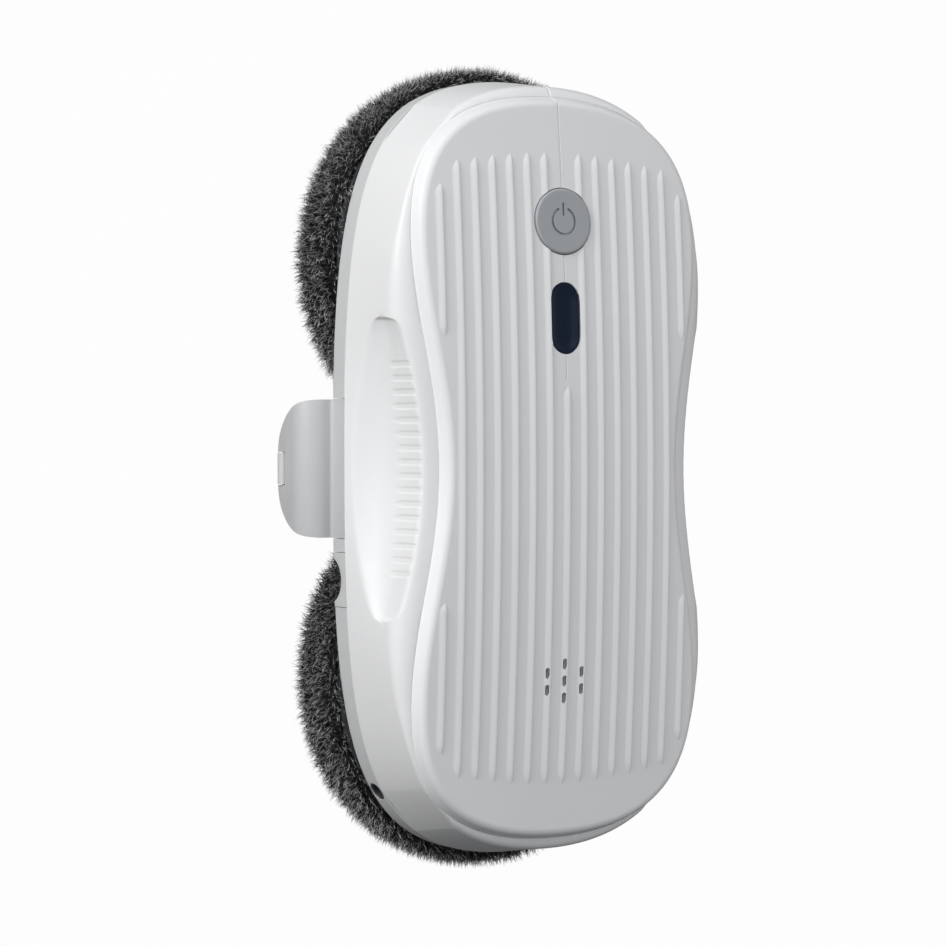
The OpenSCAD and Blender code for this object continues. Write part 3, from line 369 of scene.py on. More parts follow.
def shell_section(s):
    """Points (x, y, z) up the shell's outside at step s of the quarter."""
    base, foot, crease = (f([s])[0] for f in (base_quarter, foot_quarter, crease_quarter))
    zc = float(crease_z(*crease))
    rise = SHOULDER_SHARE * np.linalg.norm(foot - crease)
    zf = zc - rise
    a = np.linspace(0, np.pi / 2, 60)
    shoulder = np.column_stack([
        crease[0] + (foot[0] - crease[0]) * np.cos(a),
        crease[1] + (foot[1] - crease[1]) * np.cos(a),
        zc - rise + rise * np.sin(a)])
    low_end, high_end = np.array([*base, SEAM_Z]), np.array([*foot, zf])
    y, tip_z = base[1], SEAM_Z + HANDLE_TIP

    def wall_at(z):
        return low_end + (high_end - low_end) * ((z - SEAM_Z) / (zf - SEAM_Z))

    f = math.sqrt(max(0.0, 1 - (2 * y / HANDLE_LEN) ** 2))
    if f < NO_RECESS:
        return plain_section(low_end, wall_at(tip_z), high_end, shoulder)
    soft_tip = smooth_step((HANDLE_LEN / 2 - abs(y)) / TIP_SOFT)
    xi = foot[0] - HANDLE_DEPTH * f * soft_tip
    low = tip_z - (HANDLE_TIP - HANDLE_LOW) * f
    # The cove's curve enters the wall at the edge and ends on the upright xi
    t, r, foot_z = np.linspace(np.pi / 2, 0, 60), SCOOP_R * f, low - SCOOP_DROP * f
    cx, cz = xi + r * (1 - np.cos(t)), foot_z + r * (1 - np.sin(t))
    inside = np.array([x < wall_at(z)[0] for x, z in zip(cx, cz)])
    first = int(np.argmax(inside))
    edge = wall_at(cz[first])
    cos_a = np.clip((xi - crease[0]) / (foot[0] - crease[0]), 0, 1)
    a2 = math.acos(cos_a)
    top = np.array([xi, crease[1] + (foot[1] - crease[1]) * cos_a, zf + rise * math.sin(a2)])

    def y_at(z):
        return np.interp(z, [edge[2], top[2]], [edge[1], top[1]])

    cove = np.column_stack([cx[first:], y_at(cz[first:]), cz[first:]])
    cove = np.concatenate([[edge], cove]) if np.linalg.norm(cove[0] - edge) > 1e-6 else cove
    over = np.concatenate([[top], shoulder[a > a2 + 1e-6]])
    lip, head = (min(r, 0.9 * (foot[0] - xi)) for r in (LIP_ROUND, TOP_ROUND))
    wall_line = cut_back(along([low_end, edge], 12), lip, True)
    cove_line = cut_back(cove, lip, False)
    up_line = cut_back(np.array([cove[-1], top]), head, True)
    over_line = cut_back(over, head, False)
    line = np.concatenate([
        along(wall_line, WALL_N)[:-1], corner(wall_line, cove_line, LIP_N)[:-1],
        along(cove_line, COVE_N)[:-1], along(up_line, UP_N)[:-1],
        corner(up_line, over_line, HEAD_N)[:-1], along(over_line, OVER_N)])
    return pressed_groove(line, y, low + COVE_R * f + GRIP_W / 2, top[2])


print("points in a section:", len(shell_section(0.0)))

# %% [markdown]
# ## The shell as a grid
# Sections stand close together where the grooves and the recess tips need
# them. The grid is mirrored round, the seam is pressed in at the button's
# end, and a plain inner skin makes the shell a closed solid.

# %% Upper shell
# Sections stand from one Y to the next at this spacing
Y_SPACING = [(0, 40.6, 0.3), (40.6, 50, 0.8), (50, 55, 0.35), (55, 56.05, 0.12),
             (56.4, 65, 1.6), (66, 120, 2.2)]


def section_steps():
    """The steps of the quarter at which the sections stand."""
    y_marks = np.concatenate([np.arange(*row) for row in Y_SPACING])
    fine = np.linspace(0, LAST_STEP, 4000)
    s_marks = np.interp(y_marks, base_quarter(fine)[:, 1], fine)
    near_end = LAST_STEP - np.concatenate(
        [np.arange(1.0, 0.09, -0.09), np.arange(0.09, -0.001, -0.0087)])
    s_all = np.concatenate([s_marks[s_marks < 13.4],
                            np.linspace(13.45, LAST_STEP - 1.1, 34), near_end])
    s_all[-1] = LAST_STEP
    return s_all


def press_seam(loop):
    """The seam runs down the middle of the shoulder at the button's end."""
    shoulder_z = loop[:, SHOULDER_ROW:SHOULDER_ROW + 1, 2]
    seam = (loop[:, :, 1] > SEAM_FROM) & (loop[:, :, 2] > shoulder_z - 0.5)
    depth = SEAM_D * smooth_step((SEAM_HALF - np.abs(loop[:, :, 0])) / SEAM_SOFT)
    lean = np.clip((loop[:, :, 2] - shoulder_z) / SEAM_LEAN, 0, 1)
    loop[:, :, 1] -= np.where(seam, depth * (1 - lean), 0)
    loop[:, :, 2] -= np.where(seam, depth * lean, 0)


def upper_shell_solid():
    """The outside as a grid of sections, closed by a plain inner skin."""
    loop = mirrored(np.stack([shell_section(s) for s in section_steps()]))
    press_seam(loop)
    outside = [loop[:, k] for k in range(loop.shape[1])]
    first = outside[0].copy()
    first[:, :2] = inset(outside[0], 0.2)
    first[:, 2] += SEAM_GAP / 2
    outside[0] = outside[0] + [0, 0, 0.32]
    base, crease = outside[1], outside[-1]
    hem = outside[0] + (base - outside[0]) * 0.1
    return looped("shell_upper", [
        first, outside[0], hem, *outside[1:], crease + [0, 0, -1.2], lift(crease, LEDGE_Z),
        lift(inset(crease, -1.0), 43.0), lift(inset(base, 2.0), 40.0),
        lift(inset(base, 2.0), SEAM_Z + SEAM_GAP / 2)])


shell_upper = upper_shell_solid()
print("upper shell faces:", len(shell_upper.data.polygons))

# %% [markdown]
# ## The top cover
# A separate crowned panel with the same waisted outline, held in a thin
# groove all round. Its side stands up steeply and rounds over into the
# crown. The openings for the button, the window and the speaker are cut
# with one boolean, as they would be cores in the mould.

# %% Top cover
BUTTON_Y, BUTTON_D, BUTTON_GAP, BUTTON_PROUD = 89.7, 24.0, 0.3, 0.8
LENS_Y, LENS_W, LENS_LEN, LENS_GAP = 54.5, 12.6, 26.0, 0.12
SLOT_W, SLOT_LEN, SLOT_PITCH, SPEAKER_Y = 1.7, 4.0, 6.2, -77.3
RIB_PITCH, SEAM_END = 7.4, 32.0
EDGE_SHARES = [(0, 0), (0.10, 0.30), (0.21, 0.56), (0.28, 0.73), (0.42, 0.885),
               (0.58, 0.97), (0.75, 1.0)]


def at_cover(y):
    """Turns and moves a piece so that it stands square to the cover's face."""
    return (Matrix.Translation(Vector((0, y, float(crown(0, y)))) * MM)
            @ Matrix.Rotation(-math.asin(y / CROWN_R_LONG), 4, "X"))


def dense_loop(curve, per_quarter=110):
    return mirrored(curve(np.linspace(0, LAST_STEP, per_quarter)))


def rounded_shares(count):
    """The cover's edge profile, drawn smoothly through its few set points."""
    marks = np.array(EDGE_SHARES)
    d = np.concatenate([[0], np.cumsum(np.linalg.norm(np.diff(marks, axis=0), axis=1))])
    fine = np.linspace(0, d[-1], 400)
    rows = np.column_stack([np.interp(fine, d, marks[:, k]) for k in (0, 1)])
    for _ in range(900):
        rows[1:-1] = (rows[:-2] + 2 * rows[1:-1] + rows[2:]) / 4
    return along(rows, count)


def slot_cutters():
    out = []
    for k in (-1, 0, 1):
        for row in ((-1, 0, 1) if k == 0 else (-0.5, 0.5)):
            outline = stadium(SLOT_W, SLOT_LEN, 14, SPEAKER_Y + row * SLOT_PITCH)
            out.append(prism("slot", outline + [k * RIB_PITCH, 0], 66, 80))
    return out


def opening_cutters():
    hole = prism("hole", circle(BUTTON_D / 2 + BUTTON_GAP, 128), -8, 6)
    pane = prism("pane", stadium(LENS_W + 2 * LENS_GAP, LENS_LEN + 2 * LENS_GAP, 40), -8, 6)
    return [moved(hole, at_cover(BUTTON_Y)), moved(pane, at_cover(LENS_Y))]


def seam_cutter():
    """A thin bar along the cover's middle line, from the window to its edge."""
    y = np.concatenate([np.linspace(SEAM_END, CREASE_LEN - COVER_RISE * 0.75, 30),
                        CREASE_LEN - COVER_RISE * rounded_shares(12)[::-1, 0]])
    z = np.concatenate([crown(0, y[:30]),
                        crease_z(0, CREASE_LEN) + COVER_RISE * rounded_shares(12)[::-1, 1]])
    path = np.column_stack([y, z])
    v = np.gradient(path, axis=0)
    n = np.column_stack([-v[:, 1], v[:, 0]]) / np.linalg.norm(v, axis=1)[:, None]
    section = [(-0.42, 0.6), (-0.42, 0.0), (-0.2, -SEAM_D), (0.2, -SEAM_D), (0.42, 0.0),
               (0.42, 0.6)]
    rings = [np.column_stack([np.full(len(path), a), path + b * n]) for a, b in section]
    bar = stacked("seam", list(np.stack(rings, axis=1)))
    bar.data.flip_normals()
    return bar


def cover_solid():
    crease = dense_loop(crease_quarter)
    below = crease_z(crease[:, 0], crease[:, 1])
    rings = [lift(crease, LEDGE_Z + 0.2)]
    for inward, up in rounded_shares(18):
        p = inset(crease, COVER_RISE * inward)
        rings.append(lift(p, below * (1 - up) + up * crown(p[:, 0], p[:, 1])))
    edge = rings[-1]
    for share in (0.995, 0.96, 0.88, 0.76, 0.64, 0.52, 0.4, 0.28, 0.16, 0.06):
        p = edge[:, :2] * share
        rings.append(lift(p, crown(p[:, 0], p[:, 1])))
    return stacked("cover", rings)


cover = cover_solid()
cover = cut(cover, opening_cutters() + slot_cutters())
cover = combined(cover, seam_cutter(), "DIFFERENCE")
print("cover faces:", len(cover.data.polygons))

# %% [markdown]
# ## Small helpers for node trees
# The ribs, the fur and all materials are built from nodes. One function adds
# a node with its settings and inputs, one begins a group whose inputs and
# outputs have names, and one ends a geometry tree.

# %% Node helpers
def put(tree, socket, value):
    """Links an output to the socket, or sets the socket's own value."""
    if isinstance(value, bpy.types.NodeSocket):
        tree.links.new(value, socket)
    else:
        socket.default_value = value


def add_node(tree, kind, inputs=None, **settings):
    node = tree.nodes.new(kind)
    for key, value in settings.items():
        setattr(node, key, value)
    for key, value in (inputs or {}).items():
        put(tree, node.inputs[key], value)
    return node


def math_node(tree, operation, *values):
    node = add_node(tree, "ShaderNodeMath", dict(enumerate(values)), operation=operation)
    return node.outputs[0]


def node_group(name, kind, inputs, outputs):
    """A group with inputs (label, type, value) and outputs (label, type)."""
    group = bpy.data.node_groups.new(name, kind)
    for label, sort, value in inputs:
        socket = group.interface.new_socket(label, in_out="INPUT",
                                            socket_type="NodeSocket" + sort)
        if value is not None:
            socket.default_value = value
    for label, sort in outputs:
        group.interface.new_socket(label, in_out="OUTPUT", socket_type="NodeSocket" + sort)
    return group, add_node(group, "NodeGroupInput").outputs, add_node(group, "NodeGroupOutput")


def end_tree(tree, geometry, material, out):
    real = add_node(tree, "GeometryNodeRealizeInstances", {0: geometry})
    mat = add_node(tree, "GeometryNodeSetMaterial", {
        "Geometry": real.outputs[0], "Material": material})
    put(tree, out.inputs[0], mat.outputs[0])


print("node helpers ready")

# %% [markdown]
# ## The ribs of the cover
# Thirteen long ribs and four short outer ones repeat one low, rounded
# section, so they are grown with Geometry Nodes from plain lines. The tree
# lays each line on the crown, lets it dive into the face at both ends and
# sweeps a low bell along it.

# %% Ribs
RIB_HALF, RIB_SHRINK = 117.0, 4.3
RIB_FOOT = 0.0004


def rib_tree():
    tree, inp, out = node_group(
        "Ribs on a crown", "GeometryNodeTree",
        [("Geometry", "Geometry", None), ("Rib Width", "Float", 0.0042),
         ("Rib Height", "Float", 0.0006), ("Fade", "Float", 0.006), ("Crest", "Float", -0.55),
         ("Radius Along", "Float", CROWN_R_LONG * MM),
         ("Radius Across", "Float", CROWN_R_CROSS * MM), ("Material", "Material", None)],
        [("Geometry", "Geometry")])
    add, calc = partial(add_node, tree), partial(math_node, tree)

    def sag(radius, v):
        rest = calc("SUBTRACT", calc("MULTIPLY", radius, radius), calc("MULTIPLY", v, v))
        return calc("SUBTRACT", radius, calc("SQRT", rest))

    def place_xyz():
        position = add("GeometryNodeInputPosition").outputs[0]
        return add("ShaderNodeSeparateXYZ", {0: position}).outputs

    line = add("GeometryNodeMeshToCurve", {"Mesh": inp["Geometry"]})
    line = add("GeometryNodeResampleCurve", {"Curve": line.outputs["Curve"], "Count": 140})
    at = place_xyz()
    drop = calc("ADD", sag(inp["Radius Along"], at["Y"]), sag(inp["Radius Across"], at["X"]))
    gone = add("GeometryNodeSplineParameter").outputs["Length"]
    ahead = calc("SUBTRACT", add("GeometryNodeSplineLength").outputs["Length"], gone)
    ramp = add("ShaderNodeMapRange", {
        "Value": calc("MINIMUM", gone, ahead), "From Max": inp["Fade"]},
        interpolation_type="SMOOTHSTEP")
    dive = calc("MULTIPLY", calc("SUBTRACT", 1.0, ramp.outputs["Result"]),
                calc("ADD", inp["Rib Height"], 0.0002))
    face_z = calc("SUBTRACT", CROWN_Z * MM - 0.00006, drop)
    where = add("ShaderNodeCombineXYZ", {
        "X": at["X"], "Y": at["Y"], "Z": calc("SUBTRACT", face_z, dive)})
    laid = add("GeometryNodeSetPosition", {
        "Geometry": line.outputs["Curve"], "Position": where.outputs[0]})
    # Section: a bell on top, closed by a flat foot below the face
    round_line = add("GeometryNodeCurvePrimitiveCircle", {"Resolution": 36, "Radius": 1.0})
    rim = place_xyz()
    past = calc("SUBTRACT", rim["X"], inp["Crest"])
    gentle = calc("DIVIDE", calc("MINIMUM", past, 0.0), calc("ADD", inp["Crest"], 1.0))
    steep = calc("DIVIDE", calc("MAXIMUM", past, 0.0), calc("SUBTRACT", 1.0, inp["Crest"]))
    wave = calc("COSINE", calc("MULTIPLY", calc("ADD", gentle, steep), math.pi))
    bell = calc("MULTIPLY", calc("MULTIPLY", calc("ADD", wave, 1.0), 0.5), inp["Rib Height"])
    tall = calc("MULTIPLY", calc("GREATER_THAN", rim["Y"], -0.001),
                calc("ADD", bell, RIB_FOOT))
    # The sweep lays the section on its head, so it is turned half round
    size = add("ShaderNodeCombineXYZ", {
        "X": calc("MULTIPLY", rim["X"], calc("MULTIPLY", inp["Rib Width"], -0.5)),
        "Y": calc("SUBTRACT", RIB_FOOT, tall)})
    shape = add("GeometryNodeSetPosition", {
        "Geometry": round_line.outputs["Curve"], "Position": size.outputs[0]})
    sweep = add("GeometryNodeCurveToMesh", {
        "Curve": laid.outputs["Geometry"], "Profile Curve": shape.outputs["Geometry"],
        "Fill Caps": True})
    end_tree(tree, sweep.outputs["Mesh"], inp["Material"], out)
    return tree


def grown(obj, tree, values):
    """Sets a tree's named inputs, grows it and keeps a plain mesh."""
    mod = obj.modifiers.new("grow", "NODES")
    mod.node_group = tree
    for item in tree.interface.items_tree:
        if item.in_out == "INPUT" and item.name in values:
            mod[item.identifier] = values[item.name]
    return applied(obj)


def rib_lines():
    ends = []
    for k in range(-6, 7):
        half = RIB_HALF - RIB_SHRINK * (abs(k) / 6) ** 2
        ends.append((k * RIB_PITCH, -half, SEAM_END if k == 0 else half))
    for x in (-7 * RIB_PITCH, 7 * RIB_PITCH):
        ends += [(x, 45, 104), (x, -104, -45)]
    verts, edges = [], []
    for x, y0, y1 in ends:
        verts += [(x, y0, 0), (x, y1, 0)]
        edges.append((len(verts) - 2, len(verts) - 1))
    mesh = bpy.data.meshes.new("rib_lines")
    mesh.from_pydata([tuple(v * MM for v in p) for p in verts], edges, [])
    return placed("cover_ribs", mesh)


ribs = grown(rib_lines(), rib_tree(), {})
ribs = cut(ribs, opening_cutters() + slot_cutters())
softened(ribs, 70)
print("rib faces:", len(ribs.data.polygons))

# %% [markdown]
# ## The lower shell
# The pale grey band and the floor are one moulding. The band's windows for
# the side guards, the cord guide and the power inlet, and the vents, screw
# holes and suction openings of the floor, are cut in one go.

# %% Lower shell
GUARD_LEN, SEGMENT_T, FLOOR_TOP, FIT = 50.6, 4.0, 30.4, 0.2
CORD_Y, CORD_LEN, ARCH_R, ARCH_H = -40.4, 19.8, 8.5, 5.4
INLET_Y, INLET_D, INLET_DEPTH = 118.4, 7.2, 9.5
UNIT_Y, SUCTION_R, SPOKE_HALF = 77.5, (15.0, 29.0), 2.5
# Cutters begin below the band and end over the floor, over the band or outside
BELOW, OVER_FLOOR, OVER_BAND, OUTSIDE = 27, 32, 38, 72
VENT_X, VENT_YS = 54, (-5, 0, 5)
SCREW_SPOTS = ((46.5, 14), (50, 103))
SCREW_HOLE = [(3.0, BELOW), (3.0, 29.2), (1.55, 29.21), (1.55, OVER_FLOOR)]


def inlet_frame():
    """The place of the inlet in the band, with +Z pointing out of the wall."""
    fine = np.linspace(6, 17, 4000)
    p = base_quarter(fine)
    k = int(np.argmin(np.abs(p[:, 1] - INLET_Y)))
    v = p[k + 1] - p[k - 1]
    turn = math.pi + math.atan2(-v[0], v[1])
    return (Matrix.Translation(Vector((-p[k][0], -p[k][1], BAND_Z + BAND_H / 2)) * MM)
            @ Matrix.Rotation(turn, 4, "Z") @ Matrix.Rotation(math.pi / 2, 4, "Y"))


def arch_cutter():
    bar = prism("arch", circle(ARCH_R, 96), -80, -60)
    turn = Matrix.Rotation(math.pi / 2, 4, "Y")
    place = Matrix.Translation(Vector((0, CORD_Y, BAND_Z + ARCH_H - ARCH_R)) * MM)
    return moved(bar, place @ turn)


def suction_cutters(side):
    """Six openings between the spokes round a disc's shaft."""
    angles, out = np.radians([0, 60]), []
    for k in range(6):
        start, end = angles + np.radians(60 * k)

        def arc(r):
            e = math.asin(SPOKE_HALF / r)
            b = np.linspace(start + e, end - e, 15)
            return np.column_stack([r * np.cos(b), r * np.sin(b)])

        outline = np.concatenate([arc(SUCTION_R[1]), arc(SUCTION_R[0])[::-1]])
        out.append(prism("suction", outline + [0, side * UNIT_Y], BELOW, 31.5))
    return out


def band_solid():
    base = dense_loop(base_quarter, 120)
    steps = [(0.45, BAND_Z), (0.14, BAND_Z + 0.13), (0.0, BAND_Z + 0.45), (0.0, BAND_Z + 0.8),
             (0.0, SEAM_Z - 0.5), (0.0, SEAM_Z - 0.2), (0.2, SEAM_Z), (WALL, SEAM_Z),
             (WALL, FLOOR_TOP)]
    return stacked("band", [lift(inset(base, d), z) for d, z in steps])


def floor_cutters(side):
    """Guard window, vents, suction openings, screw holes and bore of one side."""
    x0, x1 = sorted((side * (HALF_W - SEGMENT_T - FIT), side * OUTSIDE))
    w = GUARD_LEN / 2 + FIT
    out = [block("window", (x0, -w, BELOW), (x1, w, OVER_BAND))]
    for y in VENT_YS:
        x = side * VENT_X
        out.append(block("vent", (x - 4, y - 1.3, BELOW), (x + 4, y + 1.3, OVER_FLOOR)))
    out += suction_cutters(side)
    for x, y in SCREW_SPOTS:
        for sy in (-1, 1):
            out.append(turned("hole", SCREW_HOLE, 40, side * x, sy * y))
    return out + [turned("bore", [(8, BELOW), (8, OVER_FLOOR)], 64, 0, side * UNIT_Y)]


tools = floor_cutters(-1) + floor_cutters(1)
w = CORD_LEN / 2 + FIT
tools.append(block("window", (-OUTSIDE, CORD_Y - w, BELOW),
                   (-HALF_W + SEGMENT_T + FIT, CORD_Y + w, OVER_BAND)))
tools.append(moved(prism("inlet", circle(INLET_D / 2 + 0.1, 64), -INLET_DEPTH - 0.5, 1),
                   inlet_frame()))
band = cut(band_solid(), tools)
band = cut(band, [arch_cutter()])
bosses = [ring_solid("boss", [(8, FLOOR_TOP - 0.1), (11, FLOOR_TOP - 0.1), (11, 40), (8, 40)],
                     64, 0, side * UNIT_Y) for side in (-1, 1)]
print("band faces:", len(band.data.polygons))

# %% [markdown]
# ## Cord guide and power inlet
# The cord guide is a small insert of the band with an arch bitten out of
# its lower edge, through which a safety cord would leave. The inlet is a
# sleeve in the band with one pin in its middle.

# %% Cord guide and inlet
def band_insert(name, y0, y1):
    """A stretch of the band between two cuts, following its outline."""
    s = np.linspace(0, LAST_STEP, 4000)
    p = base_quarter(s)
    y = np.linspace(y0, y1, 40)
    x = np.interp(np.abs(y), p[:, 1], p[:, 0])
    outer = np.column_stack([-x, y])
    inner = np.column_stack([np.full(40, -HALF_W + SEGMENT_T), y[::-1]])
    outline = np.concatenate([outer, inner])[::-1]
    area = np.sum(outline[:, 0] * np.roll(outline[:, 1], -1)
                  - np.roll(outline[:, 0], -1) * outline[:, 1])
    if area < 0:
        outline = outline[::-1]
    return prism(name, outline, BAND_Z, SEAM_Z)


cord_insert = band_insert("cord_insert", CORD_Y - CORD_LEN / 2, CORD_Y + CORD_LEN / 2)
cord_insert = cut(cord_insert, [arch_cutter()])
sleeve = turned("sleeve", [(3.6, 0), (3.6, 9.0), (3.3, 9.3), (3.0, 9.3), (2.8, 9.0),
                           (2.8, 0.8), (1.0, 0.8), (1.0, 7.6), (0.7, 7.9)], 64)
moved(sleeve, inlet_frame() @ Matrix.Translation((0, 0, -INLET_DEPTH * MM)))
print("insert and sleeve:", len(cord_insert.data.polygons), len(sleeve.data.polygons))

# %% [markdown]
# ## Side guards
# Each guard is a bent, thin moulding: a piece of the band, a flat skirt
# that runs out beside the pads, a round bend and a plate that hangs down
# with two large corners. A small roller sits in a notch at its foot.

# %% Side guards
GUARD_OUT, GUARD_TIP, GUARD_T, GUARD_BEND, GUARD_CORNER = 11.6, 8.0, 2.4, 9.0, 19.5
ROLLER_LEN, ROLLER_D, NOTCH_TOP = 11.6, 4.6, 0.7
PLATE_X = HALF_W + GUARD_OUT


def guard_solid():
    top, bend_x = BAND_Z - 0.2, PLATE_X - GUARD_BEND
    a = np.linspace(np.pi / 2, 0, 22)
    c = np.array([bend_x, top - GUARD_BEND])
    outer = c + GUARD_BEND * np.column_stack([np.cos(a), np.sin(a)])
    inner = c + (GUARD_BEND - GUARD_T) * np.column_stack([np.cos(a), np.sin(a)])
    seg = HALF_W - SEGMENT_T
    b = np.linspace(np.pi, 1.5 * np.pi, 8)
    fillet = np.array([HALF_W + 1.2, top + 1.2]) + 1.2 * np.column_stack([np.cos(b), np.sin(b)])
    section = np.concatenate([
        [(seg, SEAM_Z), (HALF_W, SEAM_Z)], fillet, outer,
        [(PLATE_X, GUARD_TIP - 1), (PLATE_X - GUARD_T, GUARD_TIP - 1)], inner[::-1],
        [(seg, top - GUARD_T), (seg, FLOOR_TOP), (seg - 6, FLOOR_TOP),
         (seg - 6, FLOOR_TOP + GUARD_T), (seg, FLOOR_TOP + GUARD_T)]])
    # The line runs clockwise seen from +Y, so it is stacked toward -Y
    half = GUARD_LEN / 2
    rings = [np.column_stack([section[:, 0], np.full(len(section), y), section[:, 1]])
             for y in (half, -half)]
    body = stacked("guard", rings)
    r, tall, low = GUARD_CORNER, 22.5, GUARD_TIP
    t = np.linspace(0, np.pi / 2, 24)
    corner_r = np.column_stack([half - r + r * np.sin(t), low + tall - tall * np.cos(t)])
    corner_l = np.column_stack([-half + r - r * np.cos(t), low + tall - tall * np.sin(t)])
    d = np.concatenate([corner_r, [(half, 40), (-half, 40)], corner_l])
    rings = [np.column_stack([np.full(len(d), x), d]) for x in (55, 90)]
    body = combined(body, stacked("outline", rings), "INTERSECT")
    notch, notch_z = ROLLER_LEN / 2 + 0.3, GUARD_TIP + ROLLER_D + NOTCH_TOP
    body = cut(body, [block("notch", (75, -notch, 5), (90, notch, notch_z))])
    return softened(body, 34, 0.35, 3)


def mirrored_copy(obj, name):
    mesh = obj.data.copy()
    mesh.transform(Matrix.Scale(-1, 4, (1, 0, 0)))
    mesh.flip_normals()
    return placed(name, mesh)


guard_right = guard_solid()
guard_left = mirrored_copy(guard_right, "guard_left")
print("guard faces:", len(guard_right.data.polygons))

# %% [markdown]
# ## Power button and window
# The button is a shallow round cap with a rounded rim and the generic
# power symbol pressed into its face. The window is a dished dark pane
# that sits a little below the cover's face.

# %% Button and window
SYMBOL_D = 0.95


def button_solid():
    r, top, foot = BUTTON_D / 2, BUTTON_PROUD, BUTTON_PROUD - 5.4
    a = np.linspace(0, np.pi / 2, 9)
    rim = [(r - 0.9 + 0.9 * math.cos(t), top - 0.9 + 0.9 * math.sin(t)) for t in a]
    dish = [(x, top - 0.12 * (1 - (x / (r - 0.9)) ** 2)) for x in np.linspace(r - 1.6, 0.0, 14)]
    profile = [(2.5, -13.0), (2.5, foot), (11.0, foot), (r, foot + 0.3)] + rim + dish
    return turned("button", profile, 160)


def power_symbol():
    """A broken ring and a bar, as two shallow cutters with upright sides."""
    r, half_w, gap = 4.8, 0.45, math.radians(27)
    a = np.linspace(math.pi / 2 + gap, math.pi * 2.5 - gap, 90)
    outer = np.column_stack([np.cos(a), np.sin(a)])
    ends = []
    for sign, end in ((1, a[-1]), (-1, a[0])):
        t = np.linspace(0, math.pi, 9)
        out_dir = np.array([math.cos(end), math.sin(end)])
        mid = r * out_dir
        along_dir = np.array([-math.sin(end), math.cos(end)]) * sign
        ends.append(mid + half_w * (np.cos(t)[:, None] * out_dir * sign
                                    + np.sin(t)[:, None] * along_dir))
    ring = np.concatenate([outer * (r + half_w), ends[0][1:-1],
                           (outer * (r - half_w))[::-1], ends[1][1:-1]])
    bar = stadium(2 * half_w, 4.9, 12, 4.3)
    low = BUTTON_PROUD - SYMBOL_D
    return [prism("ring", ring, low, 3), prism("bar", bar, low, 3)]


button = cut(button_solid(), power_symbol())
button = softened(button, 40)
moved(button, at_cover(BUTTON_Y))


def window_solid():
    rows = [(1.4, -3.65), (1.4, -2.65), (0.0, -2.6), (0.0, -0.62), (-0.22, -0.42),
            (-0.6, -0.4), (-1.0, -0.46), (-1.4, -0.62), (-2.0, -0.86), (-2.8, -1.08),
            (-3.8, -1.24), (-5.2, -1.33), (-6.0, -1.35)]
    rings = [lift(stadium(LENS_W + 2 * d, LENS_LEN + 2 * d, 40), z) for d, z in rows]
    return stacked("window", rings)


window = window_solid()
moved(window, at_cover(LENS_Y))
print("button and window:", len(button.data.polygons), len(window.data.polygons))

# %% [markdown]
# ## Materials
# Nearly everything is injection-moulded plastic, so one shader group gives
# all plastics their faint unevenness: a slow drift of tone and gloss, and a
# fine grain for the bump. Metals share a second group with turning marks.

# %% Shader groups
SURFACE = [("Base Color", "Color"), ("Roughness", "Float"), ("Height", "Float")]
BUMP_HEIGHT, PLASTIC_IOR = 0.00004, 1.47


def noise_at(group, scale, detail, vector):
    return add_node(group, "ShaderNodeTexNoise", {
        "Detail": detail, "Vector": vector, "Scale": scale}).outputs["Fac"]


def ranged(group, value, low, high):
    return add_node(group, "ShaderNodeMapRange", {
        "Value": value, "From Min": 0.25, "From Max": 0.75,
        "To Min": low, "To Max": high}).outputs["Result"]


def spread(group, value, middle, low, high):
    """The middle value, scaled from low to high by a pattern."""
    return ranged(group, value, math_node(group, "MULTIPLY", middle, low),
                  math_node(group, "MULTIPLY", middle, high))


def give_surface(group, out, colour, gain, rough, height):
    toned = add_node(group, "ShaderNodeVectorMath", {0: colour, "Scale": gain},
                     operation="SCALE")
    for socket, value in zip(out.inputs, (toned.outputs[0], rough, height)):
        put(group, socket, value)


def plastic_group():
    group, inp, out = node_group(
        "Moulded plastic", "ShaderNodeTree",
        [("Colour", "Color", (0.8, 0.8, 0.8, 1)), ("Roughness", "Float", 0.35),
         ("Drift", "Float", 0.02), ("Grain Scale", "Float", 2600.0)], SURFACE)
    coord = add_node(group, "ShaderNodeTexCoord").outputs["Object"]
    gain = ranged(group, noise_at(group, 38.0, 3.0, coord),
                  math_node(group, "SUBTRACT", 1.0, inp["Drift"]), 1.0)
    rough = spread(group, noise_at(group, 90.0, 2.0, coord), inp["Roughness"], 0.88, 1.1)
    fine = noise_at(group, inp["Grain Scale"], 1.0, coord)
    give_surface(group, out, inp["Colour"], gain, rough, fine)
    return group


def metal_group():
    group, inp, out = node_group(
        "Turned metal", "ShaderNodeTree",
        [("Colour", "Color", (0.7, 0.7, 0.72, 1)), ("Roughness", "Float", 0.3)], SURFACE)
    coord = add_node(group, "ShaderNodeTexCoord").outputs["Object"]
    flat = add_node(group, "ShaderNodeMapping", {"Scale": (1, 1, 12), "Vector": coord})
    marks = noise_at(group, 420.0, 4.0, flat.outputs[0])
    rough = spread(group, marks, inp["Roughness"], 0.75, 1.25)
    give_surface(group, out, inp["Colour"], ranged(group, marks, 0.86, 1.0), rough, marks)
    return group


def new_material(name):
    mat = bpy.data.materials.new(name)
    mat.use_nodes = True
    return mat, mat.node_tree, mat.node_tree.nodes["Principled BSDF"]


